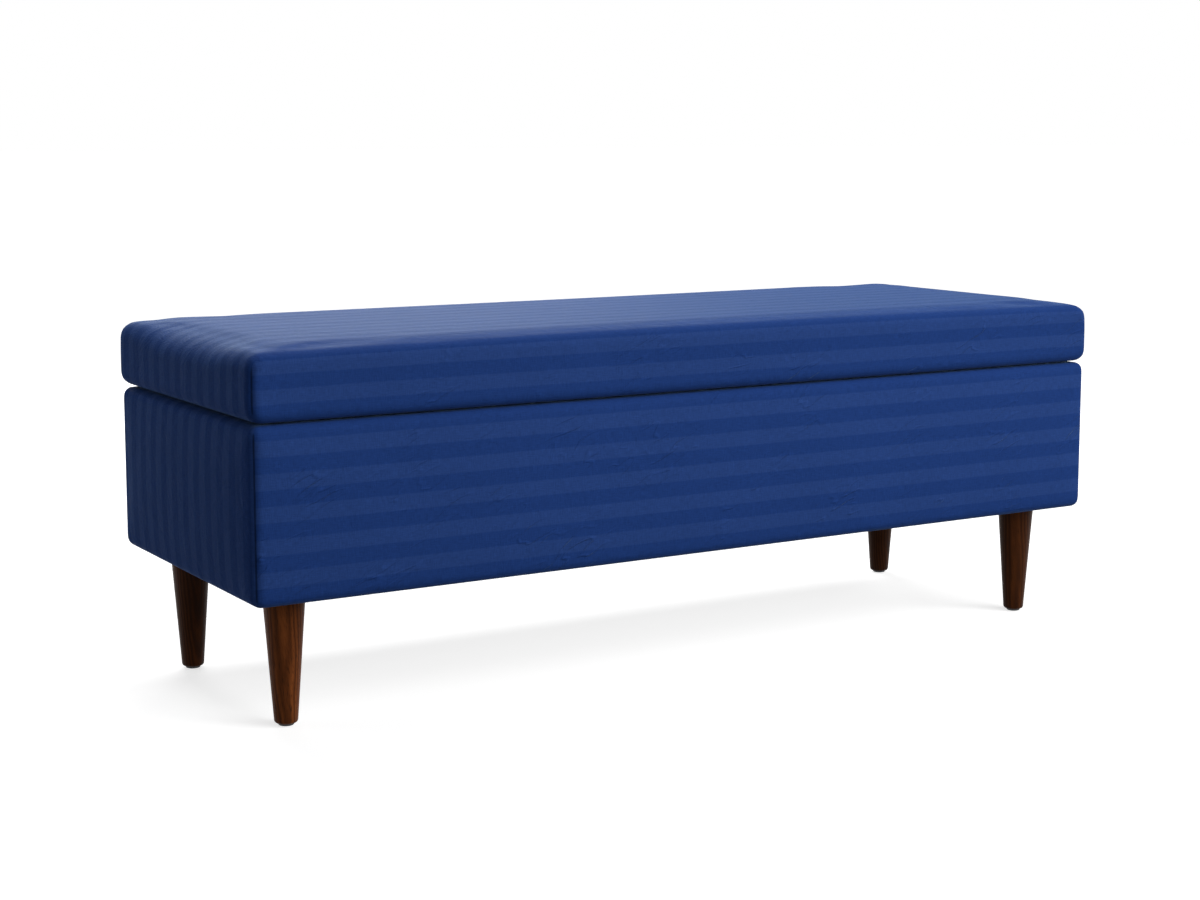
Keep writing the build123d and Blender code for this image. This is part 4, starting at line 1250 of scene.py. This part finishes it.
def stained_walnut(name):
    """Stained hardwood under satin lacquer: growth rings, open pores and blotches of stain.

    Reads the grain attribute, which is where a point lies in the tree, with z up the trunk, and
    the tone attribute, which is painted light and shade for each leg: it makes the lit front left
    leg lightest and the back legs, in the shade under the box, darkest.
    """
    material, tree, shader = start_material(name, Specular_IOR_Level=0.05)
    grain = add_node(tree, "ShaderNodeAttribute", attribute_name="grain").outputs["Vector"]
    # the rings bend and the stain takes unevenly, over 40 mm across the grain and 200 mm along it
    slow = add_node(tree, "ShaderNodeMapping", {"Vector": grain, "Scale": (26.0, 26.0, 5.0)})
    bend = add_node(tree, "ShaderNodeTexNoise", {"Vector": slow, "Scale": 1.0, "Detail": 2.0})
    bent_by = 0.016
    bent = add_node(
        tree,
        "ShaderNodeVectorMath",
        {0: bend.outputs["Color"], 1: (bent_by, bent_by, 0.0)},
        operation="MULTIPLY",
    )
    curved = add_node(tree, "ShaderNodeVectorMath", {0: grain, 1: bent}, operation="ADD")
    year = 0.0042
    years = add_node(
        tree,
        "ShaderNodeTexWave",
        {
            "Vector": curved,
            "Scale": math.tau / 20 / year,
            "Distortion": 1.2,
            "Detail": 3.0,
            "Detail Scale": 0.3,
        },
        wave_type="RINGS",
        rings_direction="Z",
    )
    # the pores are 0.2 mm wide, drawn about three times as coarse so that they show
    drawn = add_node(tree, "ShaderNodeMapping", {"Vector": grain, "Scale": (1500.0, 1500.0, 60.0)})
    pores = add_node(tree, "ShaderNodeTexNoise", {"Vector": drawn, "Scale": 1.0, "Detail": 3.0})
    depth = add_node(
        tree,
        "ShaderNodeMapRange",
        {"Value": pores, "From Min": 0.52, "From Max": 0.72},
    )
    wood = add_node(
        tree,
        "ShaderNodeMix",
        {0: years.outputs["Fac"], 6: linear("#653618"), 7: linear("#43210C")},
        data_type="RGBA",
    )
    blotch = add_node(tree, "ShaderNodeTexNoise", {"Vector": slow, "Scale": 1.7, "Detail": 3.0})
    blotched = add_node(
        tree,
        "ShaderNodeMapRange",
        {"Value": blotch, "From Min": 0.3, "From Max": 0.7, "To Min": 0.72, "To Max": 1.25},
    )
    # painted light and shade: each leg's colour is scaled by its tone, lightest on the front left
    # leg and darkest on the back legs under the box
    tone_and_painted_light = add_node(tree, "ShaderNodeAttribute", attribute_name="tone_and_painted_light").outputs["Fac"]
    stain_and_painted_light = add_node(tree, "ShaderNodeMath", {0: blotched, 1: tone_and_painted_light}, operation="MULTIPLY")
    stained = add_node(tree, "ShaderNodeVectorMath", {0: wood, "Scale": stain_and_painted_light}, operation="SCALE")
    pored = add_node(
        tree,
        "ShaderNodeMix",
        {0: depth, 6: stained, 7: linear("#2A160A")},
        data_type="RGBA",
    )
    satin = add_node(tree, "ShaderNodeMapRange", {"Value": pores, "To Min": 0.36, "To Max": 0.5})
    sunk = add_node(
        tree,
        "ShaderNodeBump",
        {"Height": depth, "Strength": 0.35, "Distance": 0.0001},
        invert=True,
    )
    feed(shader, {"Base Color": pored, "Roughness": satin, "Normal": sunk})
    return material


walnut = stained_walnut("walnut_stained_hardwood")


def lathe(name, outline, centre, around):
    """A solid turned from (radius, height) points, the first and the last of them on the axis."""
    points = [(centre.x, centre.y, outline[0][1])]
    for radius, z in outline[1:-1]:
        for step in range(around):
            angle = math.tau * step / around
            points.append(
                (centre.x + radius * math.cos(angle), centre.y + radius * math.sin(angle), z)
            )
    points.append((centre.x, centre.y, outline[-1][1]))
    rings = len(outline) - 2
    last = len(points) - 1
    faces = [(0, 1 + step, 1 + (step + 1) % around) for step in range(around)]
    for ring in range(rings - 1):
        a = 1 + ring * around
        for step in range(around):
            following = (step + 1) % around
            faces.append((a + step, a + around + step, a + around + following, a + following))
    a = 1 + (rings - 1) * around
    faces += [(last, a + (step + 1) % around, a + step) for step in range(around)]
    return new_piece(name, points, faces)


def turned_leg(name, node, pith, tone_and_painted_light):
    """A leg turned on a lathe: straight taper, broken top edge, rounded foot.

    pith is where the heart of the tree lies, and tone is painted light and shade: how far the
    wood's colour is scaled for how lit that leg is.
    """
    low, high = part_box(node)
    middle = (low + high) / 2
    top_r, top_round = (high.x - low.x) / 2, 0.0012
    foot_r, foot_round = 0.014, 0.003
    outline = [(radius, high.z) for radius in (0.0, 0.006, 0.015, top_r - top_round)]
    outline += [
        (top_r - top_round * (1 - math.sin(a)), high.z - top_round * (1 - math.cos(a)))
        for a in np.linspace(0, QUARTER, 4)[1:]
    ]
    taper = (top_r - foot_r) / (high.z - low.z)
    for z in np.linspace(high.z - top_round, low.z + foot_round, 18)[1:]:
        outline.append((foot_r + taper * (z - low.z), z))
    outline += [
        (foot_r - foot_round * (1 - math.cos(a)), low.z + foot_round * (1 - math.sin(a)))
        for a in np.linspace(0, QUARTER, 5)[1:]
    ]
    outline += [(0.005, low.z), (0.0, low.z)]
    leg = lathe(name, outline, middle, around=56)
    local = places_of(leg.data) - np.array((middle.x, middle.y, 0.0)) + np.array((*pith, 0.0))
    # the heart leans a little, so the rings run out in long pointed arches
    lean, half_way_up = 0.10, 0.08
    local[:, 0] += (local[:, 2] - half_way_up) * lean
    attribute = leg.data.attributes.new("grain", "FLOAT_VECTOR", "POINT")
    attribute.data.foreach_set("vector", local.astype(np.float32).ravel())
    mark(leg.data, "tone_and_painted_light", np.full(len(local), tone_and_painted_light))
    leg.data.materials.append(walnut)
    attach(leg, "base")
    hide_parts(node)


# the tones are painted light and shade: the front left leg in the light, the back legs in the shade
# under the box
turned_leg("leg_turned_front_left", "leg_front_left", pith=(0.012, 0.031), tone_and_painted_light=1.4)
turned_leg("leg_turned_front_right", "leg_front_right", pith=(0.020, 0.024), tone_and_painted_light=0.6)
turned_leg("leg_turned_back_left", "leg_back_left", pith=(-0.014, 0.034), tone_and_painted_light=0.55)
turned_leg("leg_turned_back_right", "leg_back_right", pith=(-0.022, 0.028), tone_and_painted_light=0.36)


def mottled_black(name, dark, pale, speckles, detail, dullness, **shine):
    """Black nylon or enamel: faintly mottled in tone and gloss, with a very fine orange peel.

    speckles is how many mottles there are to the metre, and dullness the lowest and the highest
    roughness.
    """
    material, tree, shader = start_material(name, Specular_IOR_Level=0.5, **shine)
    place = add_node(tree, "ShaderNodeTexCoord").outputs["Object"]
    mottle = add_node(
        tree, "ShaderNodeTexNoise", {"Vector": place, "Scale": speckles, "Detail": detail}
    )
    colour = add_node(
        tree, "ShaderNodeMix", {0: mottle, 6: linear(dark), 7: linear(pale)}, data_type="RGBA"
    )
    gloss, dull = dullness
    dulled = add_node(
        tree,
        "ShaderNodeMapRange",
        {"Value": mottle, "To Min": gloss, "To Max": dull},
    )
    bump = add_node(tree, "ShaderNodeBump", {"Height": mottle, "Strength": 0.3, "Distance": 0.0001})
    feed(shader, {"Base Color": colour, "Roughness": dulled, "Normal": bump})
    return material


black_nylon = mottled_black(
    "moulded_black_nylon", "#141416", "#2B2B2D", speckles=600.0, detail=3.0, dullness=(0.42, 0.6)
)
dress(black_nylon, "leg_glides")
dress(zinc, "leg_plates", "hanger_bolts")

# --- lid ----------------------------------------------------------------------------------------
# The lid is a plywood board under foam and polyester wadding. One piece of the striped cotton is
# wrapped over them, sewn in a dart at each corner and stapled underneath. The ends roll over in
# a large soft curve, but the darts are sewn high, so the corners stay nearly square.

dress(flat_plywood, "lid_panel")
lid_low, lid_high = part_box("lid_cover")
EDGE = 0.013  # rounding of the long edges and the upright corners
END_ROLL, END_DROP = 0.060, 0.034  # the left end rolls over in a quarter ellipse this long and high
RIGHT_ROLL, RIGHT_DROP = 0.044, 0.025  # the right end is stuffed a little fuller
DART_ROLL, DART_DROP = 0.028, 0.018  # both are nearly square at the darts
DART_REACH = 0.15  # how far from the long sides one turns into the other
BOTTOM_CORNER = 0.004

inner_x = lid_high.x - EDGE
inner_y = lid_high.y - EDGE
inner_low = lid_low.z + EDGE
inner_high = lid_high.z - EDGE
roll_x = lid_high.x - END_ROLL
roll_z = lid_high.z - END_DROP
roll_rise = inner_high - roll_z
from_end = np.array((0.0, 0.002, 0.005, 0.010, 0.016, 0.023, 0.031, 0.039))
columns = np.concatenate(
    (from_end - inner_x, np.linspace(-roll_x, roll_x, 131), (inner_x - from_end)[::-1])
)
rows = inner_low + np.array((0.0, 0.002, 0.004, 0.010, 0.017, 0.025, 0.033, roll_z - inner_low))
rows = np.concatenate((rows, roll_z + roll_rise * np.array((0.2, 0.4, 0.62, 0.82, 1.0))))
last_column, last_row = len(columns) - 1, len(rows) - 1
loop = [(i, 0) for i in range(last_column)]
loop += [(last_column, k) for k in range(last_row)]
loop += [(i, last_row) for i in range(last_column, 0, -1)]
loop += [(0, k) for k in range(last_row, 0, -1)]


def rounded(x, z, y):
    """A point of the lid's end view at a depth y, its square corners drawn in to their curves."""
    share = np.clip((inner_y - abs(y)) / DART_REACH, 0.0, 1.0)
    blend = share * share * (3 - 2 * share)
    end_roll, end_drop = (RIGHT_ROLL, RIGHT_DROP) if x > 0 else (END_ROLL, END_DROP)
    top_run = DART_ROLL - EDGE + (end_roll - DART_ROLL) * blend
    top_rise = DART_DROP - EDGE + (end_drop - DART_DROP) * blend
    for run, rise, edge_z in (
        (top_run, top_rise, inner_high), (BOTTOM_CORNER, -BOTTOM_CORNER, inner_low)
    ):
        corner_x, corner_z = inner_x - run, edge_z - rise
        across = (abs(x) - corner_x) / run
        up = (z - corner_z) / rise
        if across > 0 and up > 0:
            drawn = max(across, up) / math.hypot(across, up)
            x = math.copysign(corner_x + run * across * drawn, x)
            z = corner_z + rise * up * drawn
    return x, z


def rim_at(y):
    """The loop round the end view at a depth y, and its outward directions."""
    rim = np.array([rounded(columns[i], rows[k], y) for i, k in loop])
    run = np.roll(rim, -1, axis=0) - np.roll(rim, 1, axis=0)
    return rim, np.stack((run[:, 1], -run[:, 0]), axis=1) / np.linalg.norm(
        run, axis=1, keepdims=True
    )


# each level is its depth, how far the loop is swelled there, and its length of cloth from the
# middle of the top
half_turn = EDGE * QUARTER
turn_angles = [math.radians(a) for a in (67.5, 45.0, 22.5)]
levels = [(-inner_y - EDGE * math.sin(a), math.cos(a), -inner_y - EDGE * a) for a in turn_angles]
levels += [(y, 1.0, y) for y in np.linspace(-inner_y, inner_y, 50)]
levels += [
    (inner_y + EDGE * math.sin(a), math.cos(a), inner_y + EDGE * a) for a in turn_angles[::-1]
]
levels = [(-lid_high.y, 0.0, -inner_y - half_turn), *levels, (lid_high.y, 0.0, inner_y + half_turn)]

long_sides = (("front", -lid_high.y), ("back", lid_high.y))
points, index_of, rings, rims = [], {}, [], []
for side, y in long_sides:
    for i in range(last_column + 1):
        for k in range(last_row + 1):
            index_of[side, i, k] = len(points)
            x, z = rounded(columns[i], rows[k], y)
            points.append((x, y, z))
for y, reach, _ in levels:
    rim, rim_out = rim_at(y)
    rims.append((rim, rim_out))
    if reach == 0.0:
        rings.append([index_of["front" if y < 0 else "back", i, k] for i, k in loop])
        continue
    rings.append(list(range(len(points), len(points) + len(loop))))
    for (x, z), (out_x, out_z) in zip(rim, rim_out):
        points.append((x + EDGE * reach * out_x, y, z + EDGE * reach * out_z))
middle_rim, middle_out = rims[len(rims) // 2]
around = middle_rim + EDGE * middle_out
rim_lengths = np.concatenate(
    ([0.0], np.cumsum(np.linalg.norm(np.roll(around, -1, axis=0) - around, axis=1)))
)

# stripes run along the top and down the ends, and level along the front and back: the map's v is
# the length of cloth from the middle of the top
LIGHT_FROM_MIDDLE = 0.0144  # and this is where the middle of a light band lies
face_start = inner_y + half_turn


def panel_map(side, x, z):
    """Cloth map on the front or back."""
    v = face_start + inner_high - z
    return (x, (v if side == "front" else -v) - LIGHT_FROM_MIDDLE)


faces, maps = [], []
for side, y in long_sides:
    for i in range(last_column):
        for k in range(last_row):
            ring = [(i, k), (i + 1, k), (i + 1, k + 1), (i, k + 1)]
            if side == "back":
                ring.reverse()
            faces.append(tuple(index_of[side, a, b] for a, b in ring))
            maps.append([panel_map(side, *rounded(columns[a], rows[b], y)) for a, b in ring])
half_way = inner_y + half_turn / 2 - 1e-6
for step in range(len(rings) - 1):
    lengths_here = (levels[step][2], levels[step + 1][2])
    on_face = min(abs(length) for length in lengths_here) > half_way
    side = "front" if levels[step][0] < 0 else "back"
    for place in range(len(loop)):
        following = (place + 1) % len(loop)
        faces.append(
            (
                rings[step][place],
                rings[step + 1][place],
                rings[step + 1][following],
                rings[step][following],
            )
        )
        corners = []
        for number, spot, length in (
            (step, place, rim_lengths[place]),
            (step + 1, place, rim_lengths[place]),
            (step + 1, following, rim_lengths[place + 1]),
            (step, following, rim_lengths[place + 1]),
        ):
            if on_face:
                rim, rim_out = rims[number]
                to_face = face_start - abs(levels[number][2])
                corners.append(panel_map(side, *(rim[spot] + rim_out[spot] * to_face)))
            else:
                corners.append((length, -levels[number][2] - LIGHT_FROM_MIDDLE))
        maps.append(corners)

lid_cover = new_piece("lid_upholstery", points, faces, maps)

# each dart is a seam up the corner, from the bottom to where the end starts to roll over
SEAM_TOP = 0.4415
SEWN_IN = 0.006  # the cover cannot move this near to the staples and the darts
seam_lines = upright_seams(lid_high, EDGE, np.linspace(lid_low.z + SEWN_IN, SEAM_TOP, 120))
# the third ring from each side lies half-way round the upright corners, as the darts do
on_seam = np.zeros(len(points), bool)
for number in (2, len(rings) - 3):
    for place, (x, z) in enumerate(rims[number][0]):
        if abs(x) > inner_x - 0.002 and inner_low < z < SEAM_TOP:
            on_seam[rings[number][place]] = True
crease_edges(lid_cover.data, on_seam)


def held_at_seams(places):
    """1 where the cover is stapled under the board or sewn in a dart, but not at the dart's tip."""
    tight = np.concatenate([line[: len(line) * 3 // 4 : 6] for line in seam_lines])
    stapled = places[:, 2] < lid_low.z + SEWN_IN
    return (stapled | (distance_to(tight, places) < SEWN_IN)).astype(float)


# stuffing crowns the top and rounds the sides, out from a slightly smaller shape
CROWN = 0.004
start = places_of(lid_cover.data)
height_share = np.clip((start[:, 2] - lid_low.z) / (lid_high.z - lid_low.z), 0, 1)
places = swelled(lid_cover, held_at_seams, pressure=4.0, most=CROWN, even=0.007)
places[:, 2] -= CROWN * height_share**2
# the front edge droops a little towards the ends, where the darts pull it down
END_DROOP = 0.003
DROOP_START = 0.15  # from the middle of the lid
droop_x = np.clip((np.abs(places[:, 0]) - DROOP_START) / (lid_high.x - DROOP_START), 0, 1)
droop_y = np.clip((-places[:, 1] - lid_high.y + DART_REACH) / DART_REACH, 0, 1)
places[:, 2] -= END_DROOP * height_share**3 * droop_x * droop_y**2
# the wadding is thin over the long edges, so they are softer than the foam's
EDGE_SOFTENED, SOFTENED_REACH = 0.0026, 0.020
for sy in (-1, 1):
    from_edge = np.hypot(places[:, 1] - sy * lid_high.y, places[:, 2] - lid_high.z)
    pressed = EDGE_SOFTENED * np.exp(-((from_edge / SOFTENED_REACH) ** 2)) * height_share**6
    places[:, 1] -= sy * pressed * 0.7
    places[:, 2] -= pressed * 0.7
move_to(lid_cover.data, places)
subdivide(lid_cover)

mesh = lid_cover.data
places, normals = stitched(mesh, seam_lines, depth=0.0013, width=0.0022)
draw = np.random.default_rng(11).uniform
pucker_z = lid_high.z - 0.001
creases = []
for side in (-1, 1):
    # short slanting creases low on the long sides, most of them near the right end
    for _ in range(30):
        x = 0.60 - 1.2 * draw(0, 1) ** 1.7
        z = draw(0.381, 0.405)
        creases.append(
            side_crease(
                draw, x, side * lid_high.y, z, (0.012, 0.034), (0.15, 0.6), (0.0022, 0.0036)
            )
        )
    # puckers just above the long edge
    for _ in range(34):
        x = draw(-0.46, 0.48)
        y = side * (lid_high.y - draw(0.012, 0.034))
        reach = draw(0.02, 0.06)
        slant = draw(-0.006, 0.006)
        ends = (x, y, pucker_z), (x + reach, y + slant, pucker_z)
        creases.append((*ends, draw(0.003, 0.005), draw(0.0002, 0.0006)))
above = places[:, 2] > lid_low.z + 0.003
places += normals * np.where(above, pressed_creases(places, creases), 0.0)[:, None]
pressed = near_leaves(places, "hinge_lid_leaves") & (places[:, 2] < lid_low.z + LEAF_REACH)
places[pressed, 2] = np.maximum(places[pressed, 2], lid_low.z + LEAF_SINK)
move_to(mesh, places)
mesh.materials.append(cotton)
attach(lid_cover, "lid")
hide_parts("lid_cover", "lid_batting")

# --- lining under the lid -----------------------------------------------------------------------
# A panel of the black lining covers the raw edge of the wrapped cotton. Its own edge is folded
# under and stapled.

under_low, under_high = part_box("lid_lining")
lid_lining = thin_slab(
    "lid_underside_lining",
    under_high.x,
    under_high.y,
    under_low.z + 0.0001,
    under_low.z + 0.0011,
    cells_x=80,
    cells_y=28,
    sag=0.0002,
)
lid_lining.data.materials.append(lining)
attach(lid_lining, "lid")
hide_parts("lid_lining")
FROM_FOLD = 0.006
staple_round(
    "lid_lining_staples",
    "lid",
    under_high.x - FROM_FOLD,
    under_high.y - FROM_FOLD,
    under_low.z,
    pitch=0.04,
)

# --- hinges -------------------------------------------------------------------------------------
# Three butt hinges, pressed from steel strip, rolled round a pin and zinc plated, join the rim of
# the back wall to the lid board.

dress(zinc, "hinge_base_leaves", "hinge_lid_leaves")
dress(plated_steel("drawn_steel_pin", "#B9BEC4", 0.24), "hinge_pins")

# --- gas struts ---------------------------------------------------------------------------------
# A gas strut at each end holds the lid open: a black-enamelled tube, a hard-chromed rod, and
# nylon sockets that snap on ball studs riveted to zinc-plated brackets.

enamel = mottled_black(
    "black_stove_enamel",
    "#0E0E10",
    "#1C1C1F",
    speckles=500.0,
    detail=2.0,
    dullness=(0.28, 0.42),
    Coat_Weight=0.3,
    Coat_Roughness=0.15,
)
chrome = plated_steel("hard_chromed_rod", "#C9CCD0", 0.14)
for side in ("left", "right"):
    dress(enamel, f"strut_tube_{side}")
    dress(chrome, f"strut_rod_{side}")
    dress(black_nylon, f"strut_tube_socket_{side}", f"strut_rod_socket_{side}")
    dress(black_nylon, f"strut_guide_{side}", f"strut_piston_{side}")
    dress(zinc, f"strut_wall_bracket_{side}", f"strut_lid_bracket_{side}")
dress(zinc, "wall_ball_studs", "lid_ball_studs")

# --- studio -------------------------------------------------------------------------------------
# A pale floor that runs out of sight and white air round it. Soft lights stand to the right and
# in front, with a weak one at the left. One hangs over the back, and a low one behind gives the
# lid its silvery sheen.


def rays_seen(tree):
    """1 for rays from the camera, a mirror or glass, and 0 for those that only light the bench."""
    ray = add_node(tree, "ShaderNodeLightPath").outputs
    seen = add_node(
        tree,
        "ShaderNodeMath",
        {0: ray["Is Camera Ray"], 1: ray["Is Glossy Ray"]},
        operation="MAXIMUM",
    )
    return add_node(
        tree, "ShaderNodeMath", {0: seen, 1: ray["Is Transmission Ray"]}, operation="MAXIMUM"
    )


floor_mesh = bpy.data.meshes.new("floor")
reach = 60.0
floor_mesh.from_pydata(
    [(-reach, -reach, 0), (reach, -reach, 0), (reach, reach, 0), (-reach, reach, 0)],
    [],
    [(0, 1, 2, 3)],
)
floor = bpy.data.objects.new("floor", floor_mesh)
floor.location.z = -0.0005  # clear of the glides' undersides
scene.collection.objects.link(floor)
floor_paint = bpy.data.materials.new("pale_floor")
floor_paint.use_nodes = True
floor_tree = floor_paint.node_tree
floor_tree.nodes.clear()
seen = rays_seen(floor_tree)
dull_floor = add_node(floor_tree, "ShaderNodeBsdfDiffuse", {"Color": linear("#6E6E6E")})
pale_floor = add_node(floor_tree, "ShaderNodeBsdfDiffuse", {"Color": linear("#C8C8C8")})
# beyond the lamps' reach the floor glows more, so it stays as white as the air
floor_place = add_node(floor_tree, "ShaderNodeTexCoord").outputs["Object"]
from_bench = add_node(floor_tree, "ShaderNodeVectorMath", {0: floor_place}, operation="LENGTH")
glow = add_node(
    floor_tree,
    "ShaderNodeMapRange",
    {
        "Value": from_bench.outputs["Value"],
        "From Min": 1.0,
        "From Max": 3.0,
        "To Min": 0.7,
        "To Max": 1.0,
    },
    interpolation_type="SMOOTHSTEP",
)
lit_floor = add_node(floor_tree, "ShaderNodeEmission", {"Color": (1, 1, 1, 1), "Strength": glow})
bright = add_node(floor_tree, "ShaderNodeAddShader", {0: pale_floor, 1: lit_floor})
shown = add_node(floor_tree, "ShaderNodeMixShader", {0: seen, 1: dull_floor, 2: bright})
add_node(floor_tree, "ShaderNodeOutputMaterial", {"Surface": shown})
floor_mesh.materials.append(floor_paint)

world = bpy.data.worlds.new("air")
scene.world = world
world.use_nodes = True
world_tree = world.node_tree
world_tree.nodes.clear()
seen = rays_seen(world_tree)
soft_air = add_node(world_tree, "ShaderNodeBackground", {"Color": (1, 1, 1, 1), "Strength": 0.07})
white_air = add_node(world_tree, "ShaderNodeBackground", {"Color": (1, 1, 1, 1), "Strength": 1.0})
air = add_node(world_tree, "ShaderNodeMixShader", {0: seen, 1: soft_air, 2: white_air})
add_node(world_tree, "ShaderNodeOutputWorld", {"Surface": air})

middle = (cad_low + cad_high) / 2


def soft_light(name, place, width, height, watts):
    """A rectangular lamp that faces the middle of the bench."""
    lamp = bpy.data.lights.new(name, "AREA")
    lamp.shape = "RECTANGLE"
    lamp.size = width
    lamp.size_y = height
    lamp.energy = watts
    made = bpy.data.objects.new(name, lamp)
    made.location = place
    aim = middle - made.location
    made.rotation_euler = aim.to_track_quat("-Z", "Y").to_euler()
    made.visible_camera = False
    scene.collection.objects.link(made)


soft_light("right_light", (2.2, -2.6, 2.6), 2.0, 1.6, watts=96.0)
soft_light("front_light", (0.5, -3.3, 1.4), 2.0, 1.2, watts=46.0)
soft_light("left_light", (-2.6, 1.2, 1.2), 1.4, 1.2, watts=6.0)
soft_light("top_light", (0.0, 1.4, 2.6), 2.4, 1.0, watts=54.0)
soft_light("back_light", (0.8, 3.2, 1.3), 2.2, 1.0, watts=54.0)
